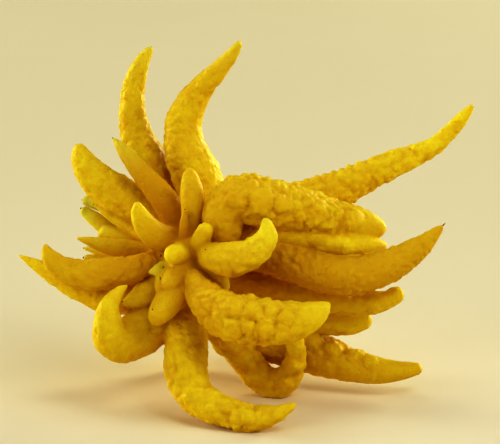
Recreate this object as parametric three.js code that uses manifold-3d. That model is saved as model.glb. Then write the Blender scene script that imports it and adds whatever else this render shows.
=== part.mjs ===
// A fingered citron, picked and resting on a table: one fused fruit whose palm splits into long
// curved fingers, with the calyx button and the clipped stalk left at its stem end.
//
// Lengths are millimetres. The part frame has +X to the right, +Y to the back and +Z up, and its
// origin is on the table under the middle of the fruit. The fingers are laid out in the hand's own
// frame, whose origin is the heart of the hand, where the fingers meet: its -Y is the growth axis,
// away from the stalk. The whole hand then leans back, so that the growth axis points up a little.

import * as THREE from "three";
import { mergeVertices } from "three/addons/utils/BufferGeometryUtils.js";
import Module from "manifold-3d";

const wasm = await Module();
wasm.setup();

// ---- Driving dimensions ----

const LEAN = THREE.MathUtils.degToRad(15); // how far the growth axis points above the table
const HEART_HEIGHT = 77; // the heart above the table, once the hand leans
const STATION_STEP = 7; // distance between two cross-sections of a finger
const SIDES_THICK = 10; // facets round a finger thicker than THICK
const SIDES_SLIM = 8;
const THICK = 7; // radius that parts thick fingers from slim ones
const WART_HEIGHT = 0.09; // a wart's height on the wartiest finger, as a share of its radius

const PALM_SIDES = 27;
const PALM_RIBS = 9; // shallow ribs that run on from the fingers to the stem end
const PALM_RIB_DEPTH = 0.05; // as a share of the palm's radius
const STEM_END = [8, 96, -4]; // the middle of the flat where the calyx sits, in the hand's frame

const CALYX_RADIUS = 7.2;
const CALYX_THICKNESS = 2.4;
const CALYX_LOBES = 5;
const CALYX_BEVEL = 0.6;
const STEPS_PER_LOBE = 6;
const STALK_RADIUS = 3.1;
const STALK_LENGTH = 11;
const STALK_SIDES = 14;
const TABLE_SPAN = 600; // the block below z 0 that cuts the fruit flat
const TABLE_DEPTH = 100;
const GAP = 0.3; // between two pieces that touch

// ---- The fingers ----
// Each path runs from inside the palm to the tip, and each of its points is [x, y, z, radius] in
// the hand's frame. The last point is the centre of the rounded tip. wart is 0 for a smooth finger
// and 1 for the knobbliest.

const FINGERS = [
  // The crown: fingers that rise.
  { name: "tall_left", wart: 0.4, path: [[-4, 46, 10, 10], [-10, 48, 27, 10], [-19.5, 48, 46, 9.8],
    [-26.5, 47, 59, 8.4], [-29.8, 46, 70, 7.1], [-30.1, 45, 80, 6.2], [-28.8, 45, 90, 5.5],
    [-25.4, 44, 99.5, 3.8], [-21.4, 44, 105.8, 1.7]] },
  { name: "tall_right", wart: 0.4, path: [[4, 38, 12, 12], [6, 37, 29, 12], [1.5, 35, 44, 12],
    [-3, 34, 55.5, 10.8], [-4, 33, 66.5, 9.2], [-0.5, 31, 77, 7.6], [5.5, 29, 86, 6],
    [13, 26, 94, 4.8], [20, 23, 101.5, 3.6], [24.2, 21, 107.6, 2.1]] },
  { name: "lance", wart: 0.15, path: [[-1, 16, 6, 7], [-5, 15, 15, 6.8], [-10, 15, 25, 7],
    [-15.5, 15, 32, 6.8], [-22, 16, 39.5, 6], [-28.5, 18, 47.5, 4.9], [-35, 20, 55.5, 2.9],
    [-39, 22, 60, 0.8]] },
  { name: "broad_left", wart: 0.2, path: [[-2, 26, 7, 8], [-11, 25, 15, 8.4], [-21, 27, 23, 8.8],
    [-30, 29, 28.5, 9.2], [-40.5, 30, 34, 9.5], [-49.5, 30, 41, 8.4], [-54.8, 30, 49, 6],
    [-56.4, 30, 54.4, 3.2]] },
  { name: "small_horn", wart: 0, path: [[-3, 10, 6, 6], [-10, 7, 9, 6.6], [-17.5, 1, 11.5, 6.8],
    [-22.5, -3, 16.5, 5.8], [-25.2, -6, 22, 4.2], [-26, -8, 26, 2.2]] },
  { name: "middle_tall", wart: 0, path: [[0, 10, 4, 4.4], [0.5, 5, 14, 4.6], [1, 1, 24, 5.4],
    [1, -1, 33, 5.7], [0.2, -2, 39.5, 4.4], [0, -2, 42.5, 2.6]] },
  { name: "sliver", wart: 0, path: [[-2, 6, 5, 2.6], [-3, -1, 12, 2.6], [-2.8, -5, 18.5, 2.1],
    [-2.5, -7, 23.5, 0.7]] },
  { name: "knob", wart: 0, path: [[0, 6, 0, 5], [3.5, -2, 6, 4.6], [6, -8, 10.3, 4.5],
    [7.6, -11, 13.7, 4.1]] },

  // The right side: the longest fingers.
  { name: "hook", wart: 0.35, path: [[1, 6, 2, 4.5], [6.5, -1, 3, 3.9], [11, -8, 1, 6.6],
    [19, -14, -0.5, 8.8], [27.5, -18, 1, 8.2], [34.5, -21, 5, 6.9], [38.4, -23, 11, 5.1],
    [38, -24, 17.5, 2.5]] },
  { name: "great_upper", wart: 1, path: [[7, 20, 2, 8], [13, 8, 7.5, 7.4], [16.6, 0, 14.4, 8.9],
    [16.6, -2, 22, 10.3], [24, -4.5, 30, 11.3], [36, -2, 27.6, 12], [52, 4, 24.6, 11.6],
    [70, 9, 19.6, 10.3], [86, 13, 16.6, 8], [93.5, 14, 15, 5.4]] },
  { name: "long_spike", wart: 0.9, path: [[8, 44, 6, 10], [24, 44, 19, 10], [42, 45, 25.5, 9.8],
    [60, 46, 30.5, 9.4], [77.5, 47, 35.8, 8.8], [91, 48, 42.2, 8], [105, 49, 48.4, 6.7],
    [117.5, 50, 53.4, 5.2], [127.5, 50, 59.2, 4.3], [134.6, 50, 66.2, 3.7], [139.6, 50, 72.2, 2.7],
    [143.6, 50, 77, 1.1]] },
  { name: "under_great", wart: 0.2, path: [[6, 28, 5, 10], [24, 16, 12, 10.4], [42.5, 10, 14, 9.4],
    [60, 8, 10.4, 8], [77.5, 8, 7, 7], [90, 10, 5.8, 5.4], [95.6, 12, 5.6, 3.8]] },
  { name: "long_point", wart: 0.6, path: [[5, 24, 3, 9], [22.5, 16, 4, 9.2], [40, 9, 1, 9],
    [55, 5, -4, 9.4], [70, 3, -8, 9.7], [85, 4, -8.5, 9.6], [98.5, 6, -4.3, 8.7], [109.5, 8, 1.6, 6.8],
    [118.5, 10, 8, 4.4], [124, 11, 13.2, 2.3], [126.3, 11, 15.5, 0.9]] },
  { name: "knobbed", wart: 0.5, path: [[5, 32, -4, 8], [20, 26, -9, 7.6], [40, 22, -14.5, 7.2],
    [57.5, 20, -19.5, 6.6], [75, 20, -22.8, 5.8], [86, 20, -23.8, 5.2], [93.5, 20, -22.6, 5.8],
    [99, 20, -21.4, 4.6], [103.6, 20, -19, 4.2]] },
  { name: "low_stub", wart: 0.1, path: [[5, 38, -10, 8], [22, 36, -19, 7.4], [42.5, 35, -27, 7],
    [62.5, 34, -31.5, 6.8], [78, 34, -33, 7], [87, 34, -32, 5.2]] },
  { name: "great_lower", wart: 1, path: [[0, 10, 0, 5], [1, 2, -6, 4], [3.5, -6, -12.5, 6],
    [10, -13, -22.8, 9.8], [22, -20, -29.5, 11.8], [36, -23, -31.5, 11.4], [48.5, -24, -31.5, 10],
    [58, -23, -29.4, 7.8], [64.5, -22, -26, 4.8], [68.6, -21, -22.8, 1.3]] },
  { name: "tongue", wart: 0, path: [[2, 8, 0, 5.6], [8, 2, -5, 5.4], [14, -1, -11, 4.8],
    [16.5, -2, -14, 3.4]] },

  // The legs: fingers that reach down to the table, and those beside them.
  { name: "front_leg", wart: 0.25, path: [[0, 20, -8, 9], [-1, 13, -21, 10], [-1.5, 8, -33.5, 10.6],
    [-2.4, 3, -45, 10.8], [-2, -3, -55.6, 10.7], [1.2, -7.5, -65.4, 9.9], [8.4, -13, -72.2, 8.5],
    [18.4, -17.5, -76.2, 7.5], [30, -22, -79, 7], [41, -25.5, -77.3, 5], [48.6, -27, -74, 2.8],
    [51.6, -27.5, -72, 1.2]] },
  { name: "loop", wart: 0.6, path: [[3, 34, -12, 9], [8, 29, -29, 8.4], [16.6, 29, -40, 7.4],
    [25.8, 31, -49.5, 7.4], [33, 34, -58.8, 7.6], [41, 35, -64, 7.7], [48, 31, -61.6, 6.9],
    [52.4, 25, -54, 5.5], [53.2, 19, -46.5, 4.9], [51.5, 12, -39, 4.4], [48.5, 8, -34.5, 2.4]] },
  { name: "low_right", wart: 0.7, path: [[8, 40, -14, 10], [30, 42, -37, 10.8], [42, 44, -42.8, 11.4],
    [54, 44, -46.4, 11], [65.6, 41, -49.6, 10.6], [75.5, 38, -53, 9.4], [85.3, 35, -55.5, 8],
    [95.3, 33, -57.5, 6.6], [105.1, 32, -57.7, 5], [114.3, 31, -56.5, 3.2]] },
  { name: "low_bump", wart: 0.4, path: [[44, 42, -45, 6], [50, 36, -42, 5.4], [54.5, 35, -42.4, 4.5],
    [59.5, 34, -41.4, 5.3], [64, 36, -42.6, 4.2], [67.5, 38, -44, 2.6]] },
  { name: "left_hook", wart: 0.45, path: [[1, 26, -16, 9], [-6, 18, -27, 9.8], [-15, 13, -32, 10.8],
    [-24.5, 9, -37.4, 11.8], [-32.8, 3, -42.1, 10.6], [-39, -3, -39.8, 9], [-40.8, -7, -32.5, 7.1],
    [-40.6, -8, -25.6, 5.2], [-38.4, -8, -20.6, 3.8], [-35, -7, -16.4, 2.4], [-32, -6, -14.2, 1]] },

  // The left side.
  { name: "left_horn", wart: 0.3, path: [[2, 16, 0, 5], [-11, 11, 0.5, 4.8], [-20, 8, -2.2, 5.6],
    [-30, 5, -5.8, 7], [-40, 3, -7.6, 7.8], [-50, 2, -8.5, 7.5], [-59, 2, -7.8, 6.8],
    [-66.2, 0, -4, 5.6], [-70.5, -2, 1, 3.8], [-72, -3, 5.4, 1.6]] },
  { name: "left_long", wart: 0.15, path: [[0, 32, -8, 9], [-15, 27, -15, 8.6], [-30, 22, -19.5, 9.2],
    [-42.5, 18, -19.6, 8], [-55, 15, -15.8, 6.5], [-65, 15, -11, 5.1], [-75.5, 17, -5, 3.2],
    [-86.3, 19, 1, 0.9]] },
  { name: "left_mid", wart: 0.1, path: [[0, 22, 2, 4.5], [-16, 18, 3.2, 3.6], [-25, 18, 4.3, 3.8],
    [-35, 17, 4.8, 4.7], [-43.5, 17, 6, 4.2], [-50.5, 17, 8, 2.6], [-56.8, 17, 9.8, 0.7]] },
  { name: "left_thin", wart: 0, path: [[-4, 30, 3, 4.5], [-21, 26, 9.5, 3.6], [-30, 29, 14.8, 3.4],
    [-36.5, 31, 19, 3.3], [-43, 32, 23, 2.5], [-49, 33, 26.7, 0.8]] },
  { name: "green_upper", wart: 0, path: [[-8, 42, 8, 5], [-30, 42, 21, 4], [-42.5, 44, 25.2, 3.6],
    [-48.5, 45, 27.4, 3.3], [-53.2, 46, 28.7, 2.7]] },
  { name: "green_lower", wart: 0, path: [[-8, 40, 4, 5], [-27, 38, 9, 5], [-41, 40, 14.2, 4.5],
    [-49, 41, 19.4, 3.9], [-54, 42, 23.2, 2.9]] },
  { name: "green_side", wart: 0, path: [[-6, 36, 3, 5], [-25, 33, 8.5, 4.2], [-35, 35, 12, 4.2],
    [-42, 36, 13, 3.6], [-45.5, 36, 11.6, 2]] },
  { name: "peek_upper", wart: 0, path: [[-4, 34, 0, 4.5], [-30, 31, 1.2, 3.6], [-43, 32, 2.6, 2.7],
    [-53.4, 33, 4.6, 1.2]] },
  { name: "peek_lower", wart: 0, path: [[-4, 36, -2, 4.5], [-32, 33, -1.6, 3.6], [-45, 34, -0.8, 2.7],
    [-53, 35, -0.2, 1.8]] },
  { name: "green_nub", wart: 0, path: [[-3, 8, -4, 4.6], [-11, 2, -4.8, 4], [-16, -1, -6, 2.9],
    [-20, -2, -7, 0.8]] },
  { name: "petal", wart: 0, path: [[-2, 18, -8, 8], [-12, 13, -11.6, 7.8], [-19, 10, -16.4, 7.4],
    [-25.5, 8, -20.4, 5.6], [-30.5, 6, -22.2, 3], [-33, 5, -22, 1.1]] },

  // The heart: short fingers that point forward.
  { name: "heart_knob", wart: 0, path: [[0, 8, 2, 6], [-4, -1, 2, 5.4], [-7.5, -9, 2, 5],
    [-8.5, -12, 2, 4.2]] },
  { name: "heart_nub", wart: 0, path: [[-1, 8, -4, 6.4], [-5, -1, -7, 6], [-9, -7, -11, 4.9],
    [-10.5, -9, -13, 3.8]] },
  { name: "heart_cheek", wart: 0, path: [[-2, 10, -5, 6], [-10, 3, -9, 6.4], [-12, -2, -14, 5.4],
    [-12, -5, -18, 4]] },
  { name: "thumb", wart: 0.1, path: [[-1, 12, -9, 8], [-5, 2, -15, 8], [-9.5, -5, -20.5, 7.6],
    [-14, -10, -26.2, 6.2], [-15.8, -12, -28.8, 4.8]] },

  // The back: one leg that props the hand up, and fingers that the front ones hide.
  { name: "back_leg", wart: 0.3, path: [[2, 52, -10, 12], [-2, 62, -25, 11], [-4, 70, -38, 9.2],
    [-5.5, 75, -48, 7.2], [-6.5, 78, -55.5, 4.4]] },
  { name: "back_right", wart: 0.4, path: [[10, 54, -4, 12], [28, 64, -8, 10.4], [44, 71, -11, 8.4],
    [58, 76, -13, 6.2], [68, 79, -13, 3.4]] },
  { name: "back_upper", wart: 0.3, path: [[6, 52, 6, 12], [12, 62, 18, 10], [17, 70, 25, 7.6],
    [20, 76, 29, 4.2]] },
  { name: "back_left", wart: 0.2, path: [[-4, 52, 0, 12], [-20, 58, 1, 9], [-32, 62, 1, 6.4],
    [-42, 64, 0.5, 3.4]] },
];

// The palm behind the heart: [y, radius, x, z] of its cross-sections, from the heart to the stem end.
const PALM = [
  [3, 8, 2, 0], [9, 14, 3, 0], [18, 20, 3, 0], [30, 25, 4, -1], [43, 28, 5, -1], [56, 28.5, 6, -2],
  [68, 26, 7, -3], [79, 21, 8, -4], [88, 15, 8, -4], [94, 10.5, 8, -4], [96, 8.6, 8, -4],
];

// ---- Shapes ----

/** A closed geometry as a solid that can be joined and cut. */
function solidOf(geometry) {
  const bare = geometry.clone();
  bare.deleteAttribute("normal");
  bare.deleteAttribute("uv");
  const merged = mergeVertices(bare, 1e-4);
  return new wasm.Manifold(new wasm.Mesh({
    numProp: 3,
    vertProperties: merged.attributes.position.array,
    triVerts: new Uint32Array(merged.index.array),
  }));
}

/** A solid as a three.js geometry. */
function geometryOf(solid) {
  const mesh = solid.getMesh();
  const geometry = new THREE.BufferGeometry();
  geometry.setAttribute("position", new THREE.BufferAttribute(mesh.vertProperties, 3));
  geometry.setIndex(new THREE.BufferAttribute(mesh.triVerts, 1));
  geometry.computeVertexNormals();
  return geometry;
}

/** Warts as a share of the radius: two crossed waves that drift along the finger and round it. */
function wartAt(along, angle, seed) {
  const slow = Math.sin(0.42 * along + 3 * angle + seed);
  const quick = Math.sin(0.95 * along - 2 * angle + 2.3 * seed);
  return WART_HEIGHT * (0.6 * slow + 0.4 * quick);
}

/**
 * A finger: a round profile lathed about a straight axis, whose cross-sections are then carried
 * to their stations on the finger's curve. The lathe's height counts stations, not millimetres.
 */
function fingerGeometry({ wart, path }, seed) {
  const line = new THREE.CatmullRomCurve3(
    path.map(([x, y, z]) => new THREE.Vector3(x, y, z)), false, "catmullrom");
  const girth = new THREE.CatmullRomCurve3(
    path.map(([, , , radius]) => new THREE.Vector3(radius, 0, 0)), false, "catmullrom");
  const length = line.getLength();
  const steps = Math.max(3, Math.round(length / STATION_STEP));
  const frames = line.computeFrenetFrames(steps, false);
  const tipRadius = path[path.length - 1][3];
  const thickest = Math.max(...path.map(([, , , radius]) => radius));

  // Stations from root to tip, then two more that round the tip off.
  const stations = [];
  for (let i = 0; i <= steps; i++) {
    const share = i / steps;
    stations.push({
      centre: line.getPointAt(share),
      radius: girth.getPoint(line.getUtoTmapping(share)).x,
      frame: i,
      along: share * length,
    });
  }
  const end = stations[steps];
  for (const turn of [Math.PI / 4, Math.PI / 2]) {
    stations.push({
      centre: end.centre.clone().addScaledVector(frames.tangents[steps], tipRadius * Math.sin(turn)),
      radius: tipRadius * Math.cos(turn),
      frame: steps,
      along: length,
    });
  }
  stations[stations.length - 1].radius = 0;

  const profile = [new THREE.Vector2(0, 0)];
  stations.forEach(({ radius }, i) => profile.push(new THREE.Vector2(radius, i)));
  const sides = thickest > THICK ? SIDES_THICK : SIDES_SLIM;
  // A faceted section that keeps the area of the round one it stands for.
  const spread = Math.sqrt(Math.PI / (sides * Math.sin(Math.PI / sides) * Math.cos(Math.PI / sides)));
  const geometry = new THREE.LatheGeometry(profile, sides);

  const position = geometry.attributes.position;
  const point = new THREE.Vector3();
  for (let i = 0; i < position.count; i++) {
    point.fromBufferAttribute(position, i);
    const { centre, frame, along } = stations[Math.round(point.y)];
    const swell = spread * (1 + wart * wartAt(along, Math.atan2(point.x, point.z), seed));
    const sideways = point.x * swell;
    const outwards = point.z * swell;
    point.copy(centre)
      .addScaledVector(frames.normals[frame], sideways)
      .addScaledVector(frames.binormals[frame], -outwards);
    position.setXYZ(i, point.x, point.y, point.z);
  }
  return geometry;
}

/** The palm: a lathed barrel with shallow ribs, laid along the hand's Y and bent to its route. */
function palmGeometry() {
  const profile = [new THREE.Vector2(0, 0)];
  PALM.forEach(([, radius], i) => profile.push(new THREE.Vector2(radius, i)));
  profile.push(new THREE.Vector2(0, PALM.length - 1));
  const geometry = new THREE.LatheGeometry(profile, PALM_SIDES);
  const position = geometry.attributes.position;
  for (let i = 0; i < position.count; i++) {
    const x = position.getX(i);
    const z = position.getZ(i);
    const [y, , middleX, middleZ] = PALM[Math.round(position.getY(i))];
    const rib = 1 + PALM_RIB_DEPTH * Math.cos(PALM_RIBS * Math.atan2(x, z));
    position.setXYZ(i, middleX + x * rib, y, middleZ + z * rib);
  }
  return geometry;
}

/** Turns a hand-frame geometry into the part frame, with the heart over the origin. */
function lean(geometry) {
  return geometry.rotateX(-LEAN).translate(0, 0, HEART_HEIGHT);
}

/** The fruit in one solid: palm and fingers joined, and pressed flat where it meets the table. */
function fruitSolid() {
  let fruit = solidOf(lean(palmGeometry()));
  FINGERS.forEach((finger, i) => {
    fruit = fruit.add(solidOf(lean(fingerGeometry(finger, i))));
  });
  const table = new THREE.BoxGeometry(TABLE_SPAN, TABLE_SPAN, TABLE_DEPTH)
    .translate(0, 0, -TABLE_DEPTH / 2);
  // The flesh is solid, so a pocket sealed between the roots is filled: only the outside is kept.
  const shells = fruit.subtract(solidOf(table)).decompose();
  return shells.reduce((outside, shell) => (shell.volume() > outside.volume() ? shell : outside));
}

/** The calyx: a flat button with five blunt lobes, lying on the stem end. */
function calyxGeometry() {
  const outline = new THREE.Shape();
  const steps = CALYX_LOBES * STEPS_PER_LOBE;
  for (let i = 0; i < steps; i++) {
    const angle = (2 * Math.PI * i) / steps;
    const radius = CALYX_RADIUS * (0.88 + 0.12 * Math.cos(CALYX_LOBES * angle));
    const x = radius * Math.cos(angle);
    const z = radius * Math.sin(angle);
    if (i === 0) outline.moveTo(x, z);
    else outline.lineTo(x, z);
  }
  return new THREE.ExtrudeGeometry(outline, {
    depth: CALYX_THICKNESS - 2 * CALYX_BEVEL, bevelThickness: CALYX_BEVEL, bevelSize: CALYX_BEVEL,
    bevelOffset: -CALYX_BEVEL, bevelSegments: 1, curveSegments: 1,
  }).translate(0, 0, CALYX_BEVEL).rotateX(-Math.PI / 2)
    .translate(STEM_END[0], STEM_END[1] + GAP, STEM_END[2]);
}

/** The stalk: a short woody stub, a little thicker at the calyx, clipped square. */
function stalkGeometry() {
  const profile = [
    new THREE.Vector2(0, 0),
    new THREE.Vector2(STALK_RADIUS * 1.3, 0),
    new THREE.Vector2(STALK_RADIUS * 1.05, STALK_LENGTH * 0.25),
    new THREE.Vector2(STALK_RADIUS, STALK_LENGTH * 0.9),
    new THREE.Vector2(STALK_RADIUS * 0.9, STALK_LENGTH),
    new THREE.Vector2(0, STALK_LENGTH),
  ];
  return new THREE.LatheGeometry(profile, STALK_SIDES)
    .translate(STEM_END[0], STEM_END[1] + CALYX_THICKNESS + 2 * GAP, STEM_END[2]);
}

// ---- The assembly ----

const rind = new THREE.MeshStandardMaterial({ color: 0xe6b800, roughness: 0.5, metalness: 0 });
const sepal = new THREE.MeshStandardMaterial({ color: 0x6f7a2e, roughness: 0.8, metalness: 0 });
const wood = new THREE.MeshStandardMaterial({ color: 0x7a5c34, roughness: 0.9, metalness: 0 });

/** A named mesh of one piece. */
function piece(name, geometry, material) {
  const mesh = new THREE.Mesh(geometry, material);
  mesh.name = name;
  return mesh;
}

const citron = new THREE.Group();
citron.add(
  piece("fruit", geometryOf(fruitSolid()), rind),
  piece("calyx", lean(calyxGeometry()), sepal),
  piece("stalk", lean(stalkGeometry()), wood),
);

// The origin goes under the middle of the whole piece.
const middle = new THREE.Box3().setFromObject(citron).getCenter(new THREE.Vector3());
citron.position.set(-middle.x, -middle.y, 0);

export default citron;
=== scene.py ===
"""The looks of a fingered citron that lies on a table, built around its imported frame.

The fruit grew as one body, so its rind is one surface. Each finger is a chain of round links whose
radius changes along a curve, the palm is a ribbed barrel, and all of them are melted together in a
field of signed distances. The rind is read off that field, then raised into bulges, lumps, pebbles
and wrinkles. The calyx button, the clipped stalk and the dry style remnants on the fingertips are
pieces of their own.

Places and sizes are millimetres in the hand's own frame, whose origin is the heart of the hand,
where the fingers meet, and whose -Y is the growth axis. Meshes are metres in the row's frame.
"""

import sys

import logging
import math
from dataclasses import dataclass, field
from enum import Enum
from typing import Iterator, Sequence

import bmesh
import bpy
import numpy as np
import openvdb
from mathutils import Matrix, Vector
from mathutils.bvhtree import BVHTree


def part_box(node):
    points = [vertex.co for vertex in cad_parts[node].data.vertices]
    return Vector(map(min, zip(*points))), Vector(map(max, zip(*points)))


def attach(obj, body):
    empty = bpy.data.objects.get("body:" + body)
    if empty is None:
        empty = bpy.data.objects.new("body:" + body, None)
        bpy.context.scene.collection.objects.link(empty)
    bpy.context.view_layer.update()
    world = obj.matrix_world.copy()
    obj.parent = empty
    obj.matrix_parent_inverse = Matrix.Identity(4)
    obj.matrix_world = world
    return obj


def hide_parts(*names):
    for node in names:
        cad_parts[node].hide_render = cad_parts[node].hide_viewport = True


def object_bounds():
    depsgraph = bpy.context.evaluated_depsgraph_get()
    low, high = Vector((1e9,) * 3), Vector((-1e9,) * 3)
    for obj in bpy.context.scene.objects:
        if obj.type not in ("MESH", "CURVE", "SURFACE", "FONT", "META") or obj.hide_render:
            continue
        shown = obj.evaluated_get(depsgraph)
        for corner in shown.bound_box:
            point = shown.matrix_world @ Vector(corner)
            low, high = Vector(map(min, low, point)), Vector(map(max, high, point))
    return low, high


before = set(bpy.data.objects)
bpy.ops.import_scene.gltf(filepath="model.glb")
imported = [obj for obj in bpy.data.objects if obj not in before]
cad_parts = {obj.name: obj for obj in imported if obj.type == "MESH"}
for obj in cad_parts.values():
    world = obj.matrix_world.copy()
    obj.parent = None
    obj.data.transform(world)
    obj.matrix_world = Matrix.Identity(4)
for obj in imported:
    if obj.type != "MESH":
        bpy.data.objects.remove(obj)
CAD_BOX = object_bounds()

log = logging.getLogger("citron")

MM = 0.001  # one millimetre, in metres
BODY = "root"  # the only body: nothing on a fruit moves
LEAN = math.radians(15)  # how far the growth axis points above the table
GAP = 0.3  # between two pieces of the frame that touch
STEM_END = np.array([8.0, 96.0, -4.0])  # the middle of the flat where the calyx sits
CALYX_RADIUS = 7.2
CALYX_THICKNESS = 2.4
STALK_RADIUS = 3.1
STALK_FLARE = 1.3  # how much wider the stalk is at its foot
STALK_LENGTH = 11.0
WARM = (1.0, 1.0, 0.87)  # the tint of the two large low lamps at the back
PLAIN = (1.0, 1.0, 1.03)  # the tint of all other lamps
PLACE_PRIMES = (73856093, 19349663, 83492791)  # one for each axis, to tell cells apart
MIXERS = ((15, 2246822519), (13, 3266489917))  # shifts and odd factors that spread bits evenly

Colour = tuple[float, float, float]


# ---- The hand's frame ----


class HandFrame:
    """The hand's own frame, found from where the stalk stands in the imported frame."""

    def __init__(self) -> None:
        """Works the heart's place out from the foot of the stalk, a round disc that leans."""
        low, high = (np.array(corner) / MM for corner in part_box("stalk"))
        foot_radius = STALK_RADIUS * STALK_FLARE
        foot = np.array([
            (low[0] + high[0]) / 2,
            low[1] + foot_radius * math.sin(LEAN),
            high[2] - foot_radius * math.cos(LEAN),
        ])
        self.heart = foot - self.turn(STEM_END + [0, CALYX_THICKNESS + 2 * GAP, 0])

    @staticmethod
    def turn(vectors: np.ndarray, back: bool = False) -> np.ndarray:
        """Turns vectors of the hand's frame into the row's frame, about the X axis.

        Args:
            vectors: an array whose last axis holds x, y and z.
            back: turns them from the row's frame into the hand's instead.

        Returns:
            The turned vectors, in the same shape.
        """
        x, y, z = np.moveaxis(np.asarray(vectors, float), -1, 0)
        cos, sin = math.cos(LEAN), math.sin(-LEAN if back else LEAN)
        return np.stack([x, y * cos + z * sin, -y * sin + z * cos], axis=-1)

    def place(self, points: np.ndarray) -> np.ndarray:
        """Points of the hand's frame in millimetres, as row points in metres."""
        return (self.turn(points) + self.heart) * MM

    def find(self, places: np.ndarray) -> np.ndarray:
        """Row points in metres, back in the hand's frame and in millimetres."""
        return self.turn(places / MM - self.heart, back=True)

    def round_stem(self, reach: np.ndarray, angle: np.ndarray, up: np.ndarray) -> np.ndarray:
        """Points round the stem's axis.

        Args:
            reach: how far they are from the axis.
            angle: where they are round it.
            up: how far they are past the flat where the calyx sits.

        Returns:
            Row points in metres, one row each.
        """
        x = STEM_END[0] + reach * np.cos(angle)
        z = STEM_END[2] + reach * np.sin(angle)
        y = STEM_END[1] + up + 0 * x
        return self.place(np.stack([x, y, z], axis=-1).reshape(-1, 3))


# ---- Curves and noise ----


def catmull_rom(points: np.ndarray, per_span: int) -> np.ndarray:
    """Carries rows of numbers along a smooth curve through every given row.

    On each span the curve is the cubic that leaves and arrives with half the step between the
    neighbouring rows. The rows beyond both ends are the end steps, repeated.

    Args:
        points: one row for each point of the curve; a row may hold a place, a radius, or both.
        per_span: how many steps each span is cut into.

    Returns:
        The rows at every step, from the first given row to the last.
    """
    rows = np.vstack([2 * points[0] - points[1], points, 2 * points[-1] - points[-2]])
    t = np.linspace(0, 1, per_span, endpoint=False)[None, :, None]
    before, start, end, after = (rows[i:len(rows) - 3 + i, None, :] for i in range(4))
    leave, arrive = (end - before) / 2, (after - start) / 2
    curve = (
        start + leave * t + (3 * (end - start) - 2 * leave - arrive) * t ** 2
        + (2 * (start - end) + leave + arrive) * t ** 3
    )
    return np.vstack([curve.reshape(-1, points.shape[1]), points[-1]])


def scatter(cells: np.ndarray, seed: int) -> np.ndarray:
    """Three fixed numbers from 0 to 1 for each whole-numbered cell, mixed from its place.

    Args:
        cells: whole numbers, with x, y and z on the last axis.
        seed: any whole number; another one gives another pattern.

    Returns:
        An array of the same shape.
    """
    whole = (cells.astype(np.int64) & 0xFFFFFFFF).astype(np.uint32)
    mixed = np.full(whole.shape[:-1], seed * 2654435 + 97, np.uint32)
    for axis, prime in enumerate(PLACE_PRIMES):
        mixed = mixed ^ (whole[..., axis] * np.uint32(prime))
    out = []
    for _ in range(3):
        for shift, factor in MIXERS:
            mixed = (mixed ^ (mixed >> np.uint32(shift))) * np.uint32(factor)
        mixed = mixed ^ (mixed >> np.uint32(16))
        out.append(mixed.astype(np.float64) / 0xFFFFFFFF)
    return np.stack(out, axis=-1)


def cell_corners(cell: np.ndarray, share: np.ndarray) -> Iterator[tuple[np.ndarray, np.ndarray]]:
    """The eight corners of each point's cell in turn, and how much each counts at the point.

    A corner's weight is the product of how near the point is to it along x, y and z.

    Args:
        cell: the points' cells, as whole numbers.
        share: how far across its cell each point is, from 0 to 1.

    Yields:
        The corner of each cell, and its weight at each point.
    """
    for corner in np.ndindex(2, 2, 2):
        yield cell + np.array(corner), np.prod(np.where(corner, share, 1 - share), axis=1)


def waves(points: np.ndarray, size: float, seed: int) -> np.ndarray:
    """Smooth noise from -1 to 1: the numbers at a cell's eight corners, eased into each other.

    Args:
        points: places in millimetres, one row each.
        size: the side of a cell.
        seed: the pattern's seed.

    Returns:
        Three independent values for each point.
    """
    scaled = points / size
    cell = np.floor(scaled).astype(np.int64)
    share = scaled - cell
    share = share * share * (3 - 2 * share)
    total = np.zeros_like(points)
    for corner, weight in cell_corners(cell, share):
        total += weight[:, None] * scatter(corner, seed)
    return 2 * total - 1


@dataclass(frozen=True)
class Drift:
    """Smooth noise that shifts or swells things, in millimetres.

    Attributes:
        far: how far it goes either way.
        size: the side of its cells.
        seed: its pattern.
    """

    far: float
    size: float
    seed: int

    def at(self, points: np.ndarray) -> np.ndarray:
        """The three shifts at each point."""
        return self.far * waves(points, self.size, self.seed)


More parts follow.
